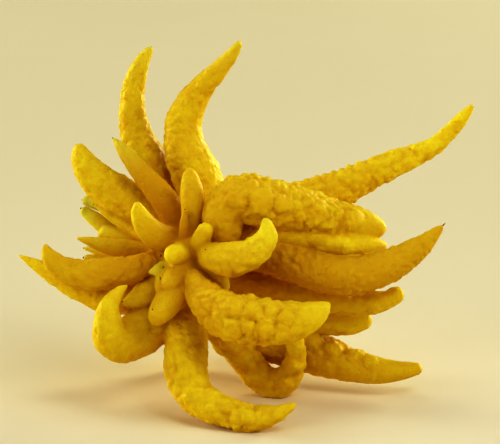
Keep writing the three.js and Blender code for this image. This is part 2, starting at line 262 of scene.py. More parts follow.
@dataclass(frozen=True)
class Domes:
    """Crowded rounded lumps of uneven height.

    Attributes:
        size: the usual width of a lump, in millimetres.
        seed: the pattern's seed.
        low: how high the lowest lump is.
        taller: how much higher the highest one is.
        crown: the height over a centre, before its own height counts.
        drop: the distance over which a lump falls by 1, as a share of the size.
        rule: how steeply a centre's say drops with the distance.
        groove: how wide the soft groove between two lumps is, as a share of the size.
    """

    size: float
    seed: int
    low: float = 0.45
    taller: float = 0.85
    crown: float = 1.2
    drop: float = 0.66
    rule: float = 11.0
    groove: float = 0.22

    def at(self, points: np.ndarray) -> np.ndarray:
        """The lumps' height, about -1 in the creases and 1 on the crests.

        Each cell holds one centre with a height of its own. A centre's lump falls off with the
        square of the distance to it. Nearby lumps are averaged with weights that drop steeply with
        distance, so each rules its own ground, and a soft groove runs where two centres are
        equally near.

        Args:
            points: places in millimetres, one row each.

        Returns:
            The height at each point, before it is scaled to millimetres.
        """
        scaled = points / self.size
        cell = np.floor(scaled).astype(np.int64)
        nearest = np.full(len(points), np.inf)
        second = np.full(len(points), np.inf)
        height = np.zeros(len(points))
        total = np.zeros(len(points))
        for step in np.ndindex(3, 3, 3):
            near_cell = cell + np.array(step) - 1
            distance = np.linalg.norm(near_cell + scatter(near_cell, self.seed) - scaled, axis=1)
            stature = self.low + self.taller * scatter(near_cell, self.seed + 1)[:, 0]
            say = np.exp(-self.rule * distance)
            height += say * stature * (self.crown - (distance / self.drop) ** 2)
            total += say
            second = np.minimum(second, np.maximum(nearest, distance))
            nearest = np.minimum(nearest, distance)
        between = np.exp(-(((second - nearest) / self.groove) ** 2))
        return np.clip(height / total, -0.8, 1.3) - 0.5 * between


# ---- The fingers ----


@dataclass(frozen=True)
class Relief:
    """How rough a finger is, as heights in millimetres on a full-grown finger.

    Attributes:
        lump: the crowded lumps, like a cauliflower's.
        pebble: the small grains between and on the lumps.
        wrinkle: the rings round the finger.
    """

    lump: float
    pebble: float
    wrinkle: float


class Skin(Enum):
    """The kinds of rind that the fingers have, from young and smooth to old and warty."""

    SMOOTH = Relief(0.08, 0.14, 0.0)
    FAINT = Relief(0.40, 0.30, 0.08)
    PEBBLED = Relief(0.45, 0.38, 0.14)
    RINGED = Relief(0.50, 0.42, 0.22)
    KNOBBLY = Relief(0.75, 0.28, 0.16)
    CAULIFLOWER = Relief(0.85, 0.40, 0.0)


@dataclass(frozen=True)
class Finger:
    """One finger of the hand.

    Attributes:
        name: a plain name for it.
        skin: its kind of rind.
        path: x, y, z and radius of its points, from inside the palm to the rounded tip's centre.
        green: how green its tip still is, from 0 to 1.
        calm: how far back from the tip its lumps reach full height.
        gold_and_shade: how deep its gold is at the root and at the tip, from 0 to 1; partly the finger's
            own tint, partly painted shade where it lies in shade.
    """

    name: str
    skin: Skin
    path: Sequence[Sequence[float]]
    green: float = 0.0
    calm: float = 14.0
    gold_and_shade: tuple[float, float] = (0.0, 0.0)

    def links(self, per_span: int = 4) -> np.ndarray:
        """The finger's curve as rows of x, y, z and radius."""
        return catmull_rom(np.array(self.path, float), per_span)

    def tip(self) -> tuple[np.ndarray, np.ndarray, float]:
        """Where the finger ends.

        Returns:
            The centre of the rounded tip, the way it points, and its radius.
        """
        rows = self.links()
        way = rows[-1, :3] - rows[-2, :3]
        return rows[-1, :3], way / np.linalg.norm(way), float(rows[-1, 3])


FINGERS = (
    # The crown: fingers that rise.
    Finger("tall_left", Skin.FAINT, (
        (-4, 46, 10, 10), (-10, 48, 27, 10), (-19.5, 48, 46, 9.8), (-26.5, 47, 59, 8.4),
        (-29.8, 46, 70, 7.1), (-30.1, 45, 80, 6.2), (-28.8, 45, 90, 5.5), (-25.4, 44, 99.5, 3.8),
        (-21.4, 44, 105.8, 1.7)), green=0.25, gold_and_shade=(0.1, 0.3)),
    Finger("tall_right", Skin.FAINT, (
        (4, 38, 12, 12), (6, 37, 29, 12), (1.5, 35, 44, 12), (-3, 34, 55.5, 10.8),
        (-4, 33, 66.5, 9.2), (-0.5, 31, 77, 7.6), (5.5, 29, 86, 6), (13, 26, 94, 4.8),
        (20, 23, 101.5, 3.6), (24.2, 21, 107.6, 2.1)), green=0.25, gold_and_shade=(0.2, 0.4)),
    Finger("lance", Skin.SMOOTH, (
        (-1, 16, 6, 7), (-5, 15, 15, 6.8), (-10, 15, 25, 7), (-15.5, 15, 32, 6.8), (-22, 16, 39.5, 6),
        (-28.5, 18, 47.5, 4.9), (-35, 20, 55.5, 2.9), (-39, 22, 60, 0.8)), green=0.45, gold_and_shade=(1, 0.6)),
    Finger("broad_left", Skin.FAINT, (
        (-2, 26, 7, 8), (-11, 25, 15, 8.4), (-21, 27, 23, 8.8), (-30, 29, 28.5, 9.2),
        (-40.5, 30, 34, 9.5), (-49.5, 30, 41, 8.4), (-54.8, 30, 49, 6), (-56.4, 30, 54.4, 3.2)),
        gold_and_shade=(0.3, 0.05)),
    Finger("small_horn", Skin.SMOOTH, (
        (-3, 10, 6, 6), (-10, 7, 9, 6.6), (-17.5, 1, 11.5, 6.8), (-22.5, -3, 16.5, 5.8),
        (-25.2, -6, 22, 4.2), (-26, -8, 26, 2.2)), gold_and_shade=(0.9, 0.05)),
    Finger("middle_tall", Skin.SMOOTH, (
        (0, 10, 4, 4.4), (0.5, 5, 14, 4.6), (1, 1, 24, 5.4), (1, -1, 33, 5.7), (0.2, -2, 39.5, 4.4),
        (0, -2, 42.5, 2.6)), gold_and_shade=(0.3, 0.4)),
    Finger("sliver", Skin.SMOOTH, (
        (-2, 6, 5, 2.6), (-3, -1, 12, 2.6), (-2.8, -5, 18.5, 2.1), (-2.5, -7, 23.5, 0.7)),
        gold_and_shade=(1, 0.75)),
    Finger("knob", Skin.SMOOTH, (
        (0, 6, 0, 5), (3.5, -2, 6, 4.6), (6, -8, 10.3, 4.5), (7.6, -11, 13.7, 4.1)), gold_and_shade=(0.7, 0.1)),

    # The right side: the longest fingers.
    Finger("hook", Skin.FAINT, (
        (1, 6, 2, 4.5), (6.5, -1, 3, 3.9), (11, -8, 1, 6.6), (19, -14, -0.5, 8.8), (27.5, -18, 1, 8.2),
        (34.5, -21, 5, 6.9), (38.4, -23, 11, 5.1), (38, -24, 17.5, 2.5)), green=0.15, gold_and_shade=(0.3, 0)),
    Finger("great_upper", Skin.CAULIFLOWER, (
        (7, 20, 2, 8), (13, 8, 7.5, 7.4), (16.6, 0, 14.4, 8.9), (16.6, -2, 22, 10.3),
        (24, -4.5, 30, 11.3), (36, -2, 27.6, 12), (52, 4, 24.6, 11.6), (70, 9, 19.6, 10.3),
        (86, 13, 16.6, 8), (93.5, 14, 15, 5.4)), gold_and_shade=(0.45, 0.25)),
    Finger("long_spike", Skin.RINGED, (
        (8, 44, 6, 10), (24, 44, 19, 10), (42, 45, 25.5, 9.8), (60, 46, 30.5, 9.4),
        (77.5, 47, 35.8, 8.8), (91, 48, 42.2, 8), (105, 49, 48.4, 6.7), (117.5, 50, 53.4, 5.2),
        (127.5, 50, 59.2, 4.3), (134.6, 50, 66.2, 3.7), (139.6, 50, 72.2, 2.7), (143.6, 50, 77, 1.1)),
        gold_and_shade=(0.3, 0)),
    Finger("under_great", Skin.FAINT, (
        (6, 28, 5, 10), (24, 16, 12, 10.4), (42.5, 10, 14, 9.4), (60, 8, 10.4, 8), (77.5, 8, 7, 7),
        (90, 10, 5.8, 5.4), (95.6, 12, 5.6, 3.8))),
    Finger("long_point", Skin.PEBBLED, (
        (5, 24, 3, 9), (22.5, 16, 4, 9.2), (40, 9, 1, 9), (55, 5, -4, 9.4), (70, 3, -8, 9.7),
        (85, 4, -8.5, 9.6), (98.5, 6, -4.3, 8.7), (109.5, 8, 1.6, 6.8), (118.5, 10, 8, 4.4),
        (124, 11, 13.2, 2.3), (126.3, 11, 15.5, 0.9)), gold_and_shade=(0.85, 0.6)),
    Finger("knobbed", Skin.PEBBLED, (
        (5, 32, -4, 8), (20, 26, -9, 7.6), (40, 22, -14.5, 7.2), (57.5, 20, -19.5, 6.6),
        (75, 20, -22.8, 5.8), (86, 20, -23.8, 5.2), (93.5, 20, -22.6, 5.8), (99, 20, -21.4, 4.6),
        (103.6, 20, -19, 4.2)), gold_and_shade=(0.6, 0.15)),
    Finger("low_stub", Skin.SMOOTH, (
        (5, 38, -10, 8), (22, 36, -19, 7.4), (42.5, 35, -27, 7), (62.5, 34, -31.5, 6.8),
        (78, 34, -33, 7), (87, 34, -32, 5.2))),
    Finger("great_lower", Skin.CAULIFLOWER, (
        (0, 10, 0, 5), (1, 2, -6, 4), (3.5, -6, -12.5, 6), (10, -13, -22.8, 9.8),
        (22, -20, -29.5, 11.8), (36, -23, -31.5, 11.4), (48.5, -24, -31.5, 10), (58, -23, -29.4, 7.8),
        (64.5, -22, -26, 4.8), (68.6, -21, -22.8, 1.3)), gold_and_shade=(0.45, 0.15)),
    Finger("tongue", Skin.SMOOTH, (
        (2, 8, 0, 5.6), (8, 2, -5, 5.4), (14, -1, -11, 4.8), (16.5, -2, -14, 3.4))),

    # The legs: fingers that reach down to the table, and those beside them.
    Finger("front_leg", Skin.FAINT, (
        (0, 20, -8, 9), (-1, 13, -21, 10), (-1.5, 8, -33.5, 10.6), (-2.4, 3, -45, 10.8),
        (-2, -3, -55.6, 10.7), (1.2, -7.5, -65.4, 9.9), (8.4, -13, -72.2, 8.5),
        (18.4, -17.5, -76.2, 7.5), (30, -22, -79, 7), (41, -25.5, -77.3, 5), (48.6, -27, -74, 2.8),
        (51.6, -27.5, -72, 1.2)), gold_and_shade=(0.2, 0.1)),
    Finger("loop", Skin.KNOBBLY, (
        (3, 34, -12, 9), (8, 29, -29, 8.4), (16.6, 29, -40, 7.4), (25.8, 31, -49.5, 7.4),
        (33, 34, -58.8, 7.6), (41, 35, -64, 7.7), (48, 31, -61.6, 6.9), (52.4, 25, -54, 5.5),
        (53.2, 19, -46.5, 4.9), (51.5, 12, -39, 4.4), (48.5, 8, -34.5, 2.4)), gold_and_shade=(0.2, 0.1)),
    Finger("low_right", Skin.FAINT, (
        (8, 40, -14, 10), (30, 42, -37, 10.8), (42, 44, -42.8, 11.4), (54, 44, -46.4, 11),
        (65.6, 41, -49.6, 10.6), (75.5, 38, -53, 9.4), (85.3, 35, -55.5, 8), (95.3, 33, -57.5, 6.6),
        (105.1, 32, -57.7, 5), (114.3, 31, -56.5, 3.2)), gold_and_shade=(0.3, 0.35)),
    Finger("low_bump", Skin.FAINT, (
        (44, 42, -45, 6), (50, 36, -42, 5.4), (54.5, 35, -42.4, 4.5), (59.5, 34, -41.4, 5.3),
        (64, 36, -42.6, 4.2), (67.5, 38, -44, 2.6)), gold_and_shade=(0.3, 0.2)),
    Finger("left_hook", Skin.FAINT, (
        (1, 26, -16, 9), (-6, 18, -27, 9.8), (-15, 13, -32, 10.8), (-24.5, 9, -37.4, 11.8),
        (-32.8, 3, -42.1, 10.6), (-39, -3, -39.8, 9), (-40.8, -7, -32.5, 7.1), (-40.6, -8, -25.6, 5.2),
        (-38.4, -8, -20.6, 3.8), (-35, -7, -16.4, 2.4), (-32, -6, -14.2, 1)),
        calm=55, gold_and_shade=(0.25, 0.1)),

    # The left side.
    Finger("left_horn", Skin.FAINT, (
        (2, 16, 0, 5), (-11, 11, 0.5, 4.8), (-20, 8, -2.2, 5.6), (-30, 5, -5.8, 7), (-40, 3, -7.6, 7.8),
        (-50, 2, -8.5, 7.5), (-59, 2, -7.8, 6.8), (-66.2, 0, -4, 5.6), (-70.5, -2, 1, 3.8),
        (-72, -3, 5.4, 1.6)), gold_and_shade=(0.9, 0.35)),
    Finger("left_long", Skin.FAINT, (
        (0, 32, -8, 9), (-15, 27, -15, 8.6), (-30, 22, -19.5, 9.2), (-42.5, 18, -19.6, 8),
        (-55, 15, -15.8, 6.5), (-65, 15, -11, 5.1), (-75.5, 17, -5, 3.2), (-86.3, 19, 1, 0.9))),
    Finger("left_mid", Skin.SMOOTH, (
        (0, 22, 2, 4.5), (-16, 18, 3.2, 3.6), (-25, 18, 4.3, 3.8), (-35, 17, 4.8, 4.7),
        (-43.5, 17, 6, 4.2), (-50.5, 17, 8, 2.6), (-56.8, 17, 9.8, 0.7)), green=0.15, gold_and_shade=(0.5, 0.3)),
    Finger("left_thin", Skin.SMOOTH, (
        (-4, 30, 3, 4.5), (-21, 26, 9.5, 3.6), (-30, 29, 14.8, 3.4), (-36.5, 31, 19, 3.3),
        (-43, 32, 23, 2.5), (-49, 33, 26.7, 0.8)), green=0.25, gold_and_shade=(0.5, 0.05)),
    Finger("green_upper", Skin.SMOOTH, (
        (-8, 42, 8, 5), (-30, 42, 21, 4), (-42.5, 44, 25.2, 3.6), (-48.5, 45, 27.4, 3.3),
        (-53.2, 46, 28.7, 2.7)), green=0.8),
    Finger("green_lower", Skin.SMOOTH, (
        (-8, 40, 4, 5), (-27, 38, 9, 5), (-41, 40, 14.2, 4.5), (-49, 41, 19.4, 3.9),
        (-54, 42, 23.2, 2.9)), green=0.6),
    Finger("green_side", Skin.SMOOTH, (
        (-6, 36, 3, 5), (-25, 33, 8.5, 4.2), (-35, 35, 12, 4.2), (-42, 36, 13, 3.6),
        (-45.5, 36, 11.6, 2)), green=0.35, gold_and_shade=(0.5, 0.2)),
    Finger("peek_upper", Skin.SMOOTH, (
        (-4, 34, 0, 4.5), (-30, 31, 1.2, 3.6), (-43, 32, 2.6, 2.7), (-53.4, 33, 4.6, 1.2)),
        green=0.3, gold_and_shade=(0.3, 0.2)),
    Finger("peek_lower", Skin.SMOOTH, (
        (-4, 36, -2, 4.5), (-32, 33, -1.6, 3.6), (-45, 34, -0.8, 2.7), (-53, 35, -0.2, 1.8)),
        green=0.3, gold_and_shade=(0.7, 0.6)),
    Finger("green_nub", Skin.SMOOTH, (
        (-3, 8, -4, 4.6), (-11, 2, -4.8, 4), (-16, -1, -6, 2.9), (-20, -2, -7, 0.8)), green=0.5),
    Finger("petal", Skin.SMOOTH, (
        (-2, 18, -8, 8), (-12, 13, -11.6, 7.8), (-19, 10, -16.4, 7.4), (-25.5, 8, -20.4, 5.6),
        (-30.5, 6, -22.2, 3), (-33, 5, -22, 1.1))),

    # The heart: short fingers that point forward.
    Finger("heart_knob", Skin.SMOOTH, (
        (0, 8, 2, 6), (-4, -1, 2, 5.4), (-7.5, -9, 2, 5), (-8.5, -12, 2, 4.2)), gold_and_shade=(0.3, 0)),
    Finger("heart_nub", Skin.SMOOTH, (
        (-1, 8, -4, 6.4), (-5, -1, -7, 6), (-9, -7, -11, 4.9), (-10.5, -9, -13, 3.8)), gold_and_shade=(0.8, 0.5)),
    Finger("heart_cheek", Skin.SMOOTH, (
        (-2, 10, -5, 6), (-10, 3, -9, 6.4), (-12, -2, -14, 5.4), (-12, -5, -18, 4))),
    Finger("thumb", Skin.SMOOTH, (
        (-1, 12, -9, 8), (-5, 2, -15, 8), (-9.5, -5, -20.5, 7.6), (-14, -10, -26.2, 6.2),
        (-15.8, -12, -28.8, 4.8)), gold_and_shade=(1, 0.35)),

    # The back: one leg that props the hand up, and fingers that the front ones hide.
    Finger("back_leg", Skin.FAINT, (
        (2, 52, -10, 12), (-2, 62, -25, 11), (-4, 70, -38, 9.2), (-5.5, 75, -48, 7.2),
        (-6.5, 78, -55.5, 4.4))),
    Finger("back_right", Skin.PEBBLED, (
        (10, 54, -4, 12), (28, 64, -8, 10.4), (44, 71, -11, 8.4), (58, 76, -13, 6.2),
        (68, 79, -13, 3.4))),
    Finger("back_upper", Skin.PEBBLED, (
        (6, 52, 6, 12), (12, 62, 18, 10), (17, 70, 25, 7.6), (20, 76, 29, 4.2))),
    Finger("back_left", Skin.FAINT, (
        (-4, 52, 0, 12), (-20, 58, 1, 9), (-32, 62, 1, 6.4), (-42, 64, 0.5, 3.4))),
)
FINGER_NAMED = {finger.name: finger for finger in FINGERS}


@dataclass(frozen=True)
class Patch:
    """A stretch of rind that is rougher or calmer than the rest of its finger.

    Attributes:
        place: its middle, on or in the finger.
        reach: how far it spreads before it fades.
        lump: what it adds to the height of the lumps.
        pebble: what it adds to the height of the pebbles.
    """

    place: Sequence[float]
    reach: float
    lump: float
    pebble: float


PATCHES = (
    # The great upper finger: smooth at its neck and tip, one flat button, then two clusters.
    Patch((15, -8, 20), 11, -1.1, -0.2),
    Patch((35, -14, 28), 5, 0.5, -0.2),
    Patch((44, -8, 14), 8, -0.6, -0.1),
    Patch((61, -5, 22), 9, 0.5, 0.3),
    Patch((76, 0, 18), 8, 0.4, 0.3),
    Patch((92, 8, 15), 10, -1.2, -0.3),
    # The great lower finger: a smooth neck and tip, knobbliest in its middle.
    Patch((3, -10, -11), 7, -1.0, -0.2),
    Patch((34, -33, -31), 13, 0.7, -0.1),
    Patch((60, -26, -28), 11, -1.1, -0.25),
    # The low right finger carries its bumps along the top.
    Patch((58, 40, -41), 9, 0.4, 0.1),
    Patch((76, 30, -46), 10, 0.4, 0.1),
    Patch((98, 30, -61), 16, -0.4, -0.3),
    # Ripples where the left horn leaves the heart, and across the foot of the front leg.
    Patch((-24, 0, -3), 8, 0.3, 0.2),
    Patch((20, -24, -80), 12, 0.4, 0.0),
)


@dataclass(frozen=True)
class Boss:
    """One large rounded bulge that stands out of a finger.

    Attributes:
        place: its middle, on the finger's surface.
        width: its radius where it meets the rind.
        height: how far its top stands out.
        bare: how much of the small lumps it smooths away, from 0 to 1.
    """

    place: Sequence[float]
    width: float
    height: float
    bare: float = 0.55


BOSSES = (
    # The flat button on the great upper finger, the small lump beside it and the two clusters.
    Boss((36, -14, 28), 6.5, 2.2, 0.8),
    Boss((22, -15, 29), 4.2, 1.6),
    Boss((45, -10, 27), 5.0, 1.5),
    Boss((62, -4, 23), 7.5, 2.0, 0.2),
    Boss((81, 2, 20), 7.0, 1.8, 0.2),
    # The crowded bulges in the middle of the great lower finger.
    Boss((23, -30, -23), 6.0, 2.5),
    Boss((32, -32, -26), 5.6, 2.7),
    Boss((30, -24, -19), 4.8, 2.2),
    Boss((22, -31, -34), 5.2, 2.4),
    Boss((29, -33, -34), 4.4, 2.2),
    Boss((37, -34, -36), 6.0, 2.6),
    Boss((46, -33, -36), 4.8, 2.0),
    Boss((41, -31, -25), 5.0, 2.0),
    Boss((48, -33, -29), 4.4, 1.7),
    # Warts along the lower edge of the hook, knuckles round the loop and down the low right finger.
    Boss((13, -13, -4), 2.6, 0.9),
    Boss((19, -19, -8), 3.0, 1.0),
    Boss((25, -23, -6), 3.0, 1.0),
    Boss((31, -25, -2), 2.6, 0.8),
    Boss((19, 22, -42), 5.0, 2.0),
    Boss((27, 24, -51), 4.6, 1.8),
    Boss((53, 19, -56), 4.2, 1.6),
    Boss((48, 25, -64), 4.6, 1.6),
    Boss((72, 31, -46), 5.0, 1.6),
    Boss((82, 29, -49), 4.4, 1.4),
    Boss((91, 28, -53), 4.0, 1.2),
)


@dataclass
class Palm:
    """The undivided base of the hand: a barrel about a bent axis, with ribs that run lengthwise.

    Attributes:
        sections: y, radius, x and z of its cross-sections, from the heart to the stem end.
        ribs: how many ribs go round it.
        rib_depth: their height, as a share of the radius.
        slope: how much of the sideways distance counts, because the side slopes.
        skin: its kind of rind.
    """

    sections: Sequence[Sequence[float]] = (
        (3, 8, 2, 0), (9, 14, 3, 0), (18, 20, 3, 0), (30, 25, 4, -1), (43, 28, 5, -1),
        (56, 28.5, 6, -2), (68, 26, 7, -3), (79, 21, 8, -4), (88, 15, 8, -4), (94, 10.5, 8, -4),
        (96, 8.6, 8, -4),
    )
    ribs: int = 9
    rib_depth: float = 0.05
    slope: float = 0.9
    skin: Skin = Skin.PEBBLED

    def distance(self, x: np.ndarray, y: np.ndarray, z: np.ndarray) -> np.ndarray:
        """How far places are outside the palm.

        The distance from the bent axis, less the ribbed radius there, is the distance from the
        barrel's side, and the larger of that and the distance past either end is the answer.

        Args:
            x, y, z: the places, as arrays that broadcast together.

        Returns:
            The signed distance, negative inside.
        """
        rows = catmull_rom(np.array(self.sections, float), 8)
        radius, middle_x, middle_z = (np.interp(y, rows[:, 0], rows[:, i]) for i in (1, 2, 3))
        across, up = x - middle_x, z - middle_z
        rib = 1 + self.rib_depth * np.cos(self.ribs * np.arctan2(across, up))
        side = (np.hypot(across, up) - radius * rib) * self.slope
        ends = np.maximum(y - rows[-1, 0], rows[0, 0] - y)
        return np.maximum(side, ends)


# ---- The field of distances ----


def melt(a: np.ndarray, b: np.ndarray, width: np.ndarray) -> np.ndarray:
    """The smaller of two distances, with the corner where they cross rounded over a width."""
    near = np.clip(width - np.abs(a - b), 0, None) / width
    return np.minimum(a, b) - 0.25 * width * near * near


@dataclass
class DistanceField:
    """Signed distances from the fruit's surface on a grid of voxels, in millimetres.

    Attributes:
        low: the grid's lowest corner.
        high: its highest corner.
        voxel: the distance between two neighbours.
        reach: the largest distance that is worked out; further away the field is flat.
        web: the width of the rounding where a finger leaves the palm.
        slit: the width of the rounding where two fingers meet away from the palm.
        web_fades: how far from the palm the rounding has narrowed to a slit.
        values: the distances, held at the reach where the surface is further away.
        palm: the distances from the palm alone.
    """

    low: np.ndarray
    high: np.ndarray
    voxel: float
    reach: float = 4.5
    web: float = 4.0
    slit: float = 0.5
    web_fades: float = 16.0
    values: np.ndarray = field(init=False)
    palm: np.ndarray = field(init=False)

    def __post_init__(self) -> None:
        """Makes an empty grid, as float32."""
        size = np.ceil((self.high - self.low) / self.voxel).astype(int) + 1
        self.values = np.full(size, self.reach, np.float32)
        self.palm = np.full(size, self.reach + self.web_fades, np.float32)

    def block(self, low: np.ndarray, high: np.ndarray) -> tuple[tuple[slice, ...], list[np.ndarray]]:
        """The voxels between two corners.

        Args:
            low: the block's lowest corner.
            high: its highest corner.

        Returns:
            The slices of the block, and its x, y and z places as arrays that broadcast together.
        """
        first = np.maximum(np.floor((low - self.low) / self.voxel).astype(int), 0)
        last = np.minimum(np.ceil((high - self.low) / self.voxel).astype(int) + 1, self.values.shape)
        cut = tuple(slice(a, b) for a, b in zip(first, last))
        places = [
            (self.low[i] + self.voxel * np.arange(first[i], last[i])).astype(np.float32)
            .reshape([-1 if j == i else 1 for j in range(3)])
            for i in range(3)
        ]
        return cut, places

    def add_palm(self, palm: Palm) -> None:
        """Fills the palm in, and keeps its distance for the webs between finger roots.

        Args:
            palm: the undivided base.
        """
        rows = np.array(palm.sections, float)
        wide = rows[:, 1].max() * (1 + palm.rib_depth) + self.web_fades
        low = np.array([rows[:, 2].min() - wide, rows[0, 0] - self.web_fades, rows[:, 3].min() - wide])
        high = np.array([rows[:, 2].max() + wide, rows[-1, 0] + self.web_fades, rows[:, 3].max() + wide])
        cut, (x, y, z) = self.block(low, high)
        distance = palm.distance(x, y, z).astype(np.float32)
        self.palm[cut] = distance
        self.values[cut] = np.minimum(distance, self.reach)

    def add_finger(self, finger: Finger) -> None:
        """Melts one finger into the field.

        The distance to a link is the distance to the nearest point of its axis, less the radius
        there, and the finger's distance is the least of its links'.

        Args:
            finger: the finger to add.
        """
        rows = finger.links()
        margin = rows[:, 3].max() + self.reach
        cut, places = self.block(rows[:, :3].min(0) - margin, rows[:, :3].max(0) + margin)
        own = np.full([axis.size for axis in places], self.reach, np.float32)
        for start, end in zip(rows[:-1], rows[1:]):
            widest = max(start[3], end[3]) + self.reach
            link_cut, (x, y, z) = self.block(
                np.minimum(start, end)[:3] - widest, np.maximum(start, end)[:3] + widest)
            inner = tuple(slice(a.start - b.start, a.stop - b.start) for a, b in zip(link_cut, cut))
            along = (end - start)[:3]
            share = ((x - start[0]) * along[0] + (y - start[1]) * along[1] + (z - start[2]) * along[2])
            share = np.clip(share / max(along @ along, 1e-9), 0, 1).astype(np.float32)
            away = (
                (x - start[0] - share * along[0]) ** 2
                + (y - start[1] - share * along[1]) ** 2
                + (z - start[2] - share * along[2]) ** 2
            )
            distance = np.sqrt(away) - (start[3] + share * (end[3] - start[3]))
            own[inner] = np.minimum(own[inner], distance)
        near_palm = np.clip(1 - self.palm[cut] / self.web_fades, 0, 1)
        width = self.slit + (self.web - self.slit) * near_palm
        self.values[cut] = melt(self.values[cut], own, width)

    def crowding(self, points: np.ndarray, spread: float, coarser: int = 3) -> np.ndarray:
        """How much of a soft ball round each point is fruit, from 0 to 1.

        The fruit's voxels count 1 and the air's 0. A bell curve of the given width blurs them,
        which is a product in the space of frequencies, and the result is read between voxels by
        the shares of the eight nearest.

        Args:
            points: places in the hand's frame.
            spread: the bell curve's width in millimetres.
            coarser: how many voxels are taken as one, to save time.

        Returns:
            One share for each point.
        """
        filled = (self.values[::coarser, ::coarser, ::coarser] < 0).astype(float)
        cell_side = self.voxel * coarser
        width = spread / cell_side
        pad = int(math.ceil(2.5 * width))
        filled = np.pad(filled, pad)
        waves_kept = np.fft.rfftn(filled)
        for axis, count in enumerate(filled.shape):
            pitch = np.fft.rfftfreq(count) if axis == 2 else np.fft.fftfreq(count)
            bell = np.exp(-2 * (math.pi * width * pitch) ** 2)
            waves_kept *= bell.reshape([-1 if i == axis else 1 for i in range(3)])
        blurred = np.fft.irfftn(waves_kept, filled.shape)
        scaled = (points - self.low) / cell_side + pad
        scaled = np.clip(scaled, 0, np.array(filled.shape) - 1.001)
        cell = scaled.astype(int)
        share = scaled - cell
        total = np.zeros(len(points))
        for corner, weight in cell_corners(cell, share):
            total += weight * blurred[tuple(corner.T)]
        return total

    def surface(self) -> tuple[np.ndarray, np.ndarray]:
        """The surface where the distance is zero.

        Returns:
            Its points in the hand's frame, and its four-sided faces as rows of point numbers.
        """
        grid = openvdb.FloatGrid(self.reach)
        grid.copyFromArray(self.values)
        points, quads = grid.convertToQuads(0.0)
        return self.low + points.astype(float) * self.voxel, quads.astype(np.int64)


# ---- Meshes ----


def mesh_object(name: str, points: np.ndarray, faces: np.ndarray) -> bpy.types.Object:
    """A smooth-shaded mesh object from whole arrays, at the origin.

    Args:
        name: the object's name.
        points: places in metres, one row each.
        faces: point numbers, one row of three or four for each face.

    Returns:
        The object, linked to the scene.
    """
    mesh = bpy.data.meshes.new(name)
    sides = faces.shape[1]
    mesh.vertices.add(len(points))
    write_places(mesh, points)
    mesh.loops.add(faces.size)
    mesh.loops.foreach_set("vertex_index", np.ascontiguousarray(faces, np.int32).ravel())
    mesh.polygons.add(len(faces))
    mesh.polygons.foreach_set("loop_start", np.arange(0, faces.size, sides, dtype=np.int32))
    mesh.update(calc_edges=True)
    mesh.validate()
    shade_smooth(mesh)
    made = bpy.data.objects.new(name, mesh)
    bpy.context.scene.collection.objects.link(made)
    return made


def read_points(mesh: bpy.types.Mesh, what: str = "co") -> np.ndarray:
    """A vector that a mesh holds for each of its points.

    Args:
        mesh: the mesh.
        what: co for the points' places, or normal for the way the surface faces there.

    Returns:
        One row for each point.
    """
    flat = np.empty(len(mesh.vertices) * 3, np.float32)
    mesh.vertices.foreach_get(what, flat)
    return flat.reshape(-1, 3).astype(float)


def write_places(mesh: bpy.types.Mesh, places: np.ndarray) -> None:
    """Moves a mesh's points to new places."""
    mesh.vertices.foreach_set("co", np.ascontiguousarray(places, np.float32).ravel())


def grid_faces(rows: int, columns: int) -> np.ndarray:
    """The faces of a grid of points that closes on itself across its columns.

    Args:
        rows: how many rows of points the grid has.
        columns: how many points are in a row.

    Returns:
        Four point numbers for each face, counted row by row.
    """
    row, column = np.meshgrid(np.arange(rows - 1), np.arange(columns), indexing="ij")
    after = (column + 1) % columns
    corners = [row * columns + column, row * columns + after, (row + 1) * columns + after,
               (row + 1) * columns + column]
    return np.stack(corners, axis=-1).reshape(-1, 4)


def shade_smooth(mesh: bpy.types.Mesh) -> None:
    """Shades every face of a mesh smooth."""
    mesh.polygons.foreach_set("use_smooth", np.ones(len(mesh.polygons), bool))


def write_attribute(mesh: bpy.types.Mesh, name: str, values: np.ndarray) -> None:
    """Stores one number for each of a mesh's points."""
    attribute = mesh.attributes.new(name, "FLOAT", "POINT")
    attribute.data.foreach_set("value", values.astype(np.float32))


def apply_modifiers(piece: bpy.types.Object) -> None:
    """Replaces a piece's mesh by what its modifiers make of it, and removes them.

    Args:
        piece: the piece, which keeps its name.
    """
    graph = bpy.context.evaluated_depsgraph_get()
    finished = bpy.data.meshes.new_from_object(piece.evaluated_get(graph), depsgraph=graph)
    finished.name = piece.name
    piece.modifiers.clear()
    piece.data = finished


def triangle_count(piece: bpy.types.Object) -> int:
    """How many triangles a piece's faces make."""
    return len(piece.data.loops) - 2 * len(piece.data.polygons)


def keep_largest_shell(piece: bpy.types.Object) -> bpy.types.Object:
    """Splits a mesh into its separate shells and keeps the one with the most points.

    Args:
        piece: the piece to split, the only one that is selected afterwards.

    Returns:
        The piece that holds the kept shell.
    """
    bpy.ops.object.select_all(action="DESELECT")
    piece.select_set(True)
    bpy.context.view_layer.objects.active = piece
    bpy.ops.mesh.separate(type="LOOSE")
    shells = list(bpy.context.selected_objects)
    kept = max(shells, key=lambda shell: len(shell.data.vertices))
    for shell in shells:
        if shell is not kept:
            bpy.data.objects.remove(shell)
    return kept


# ---- Materials ----


def add_node(tree: bpy.types.NodeTree, kind: str, **settings: object) -> bpy.types.Node:
    """A node with its settings and plain input values.

    Args:
        tree: the node tree that it goes in.
        kind: the node's type, without the ShaderNode in front.
        settings: properties by name, and input values by the input's name in place of _ for space.

    Returns:
        The node.
    """
    node = tree.nodes.new("ShaderNode" + kind)
    for name, value in settings.items():
        if hasattr(node, name):
            setattr(node, name, value)
        else:
            node.inputs[name.replace("_", " ")].default_value = value
    return node


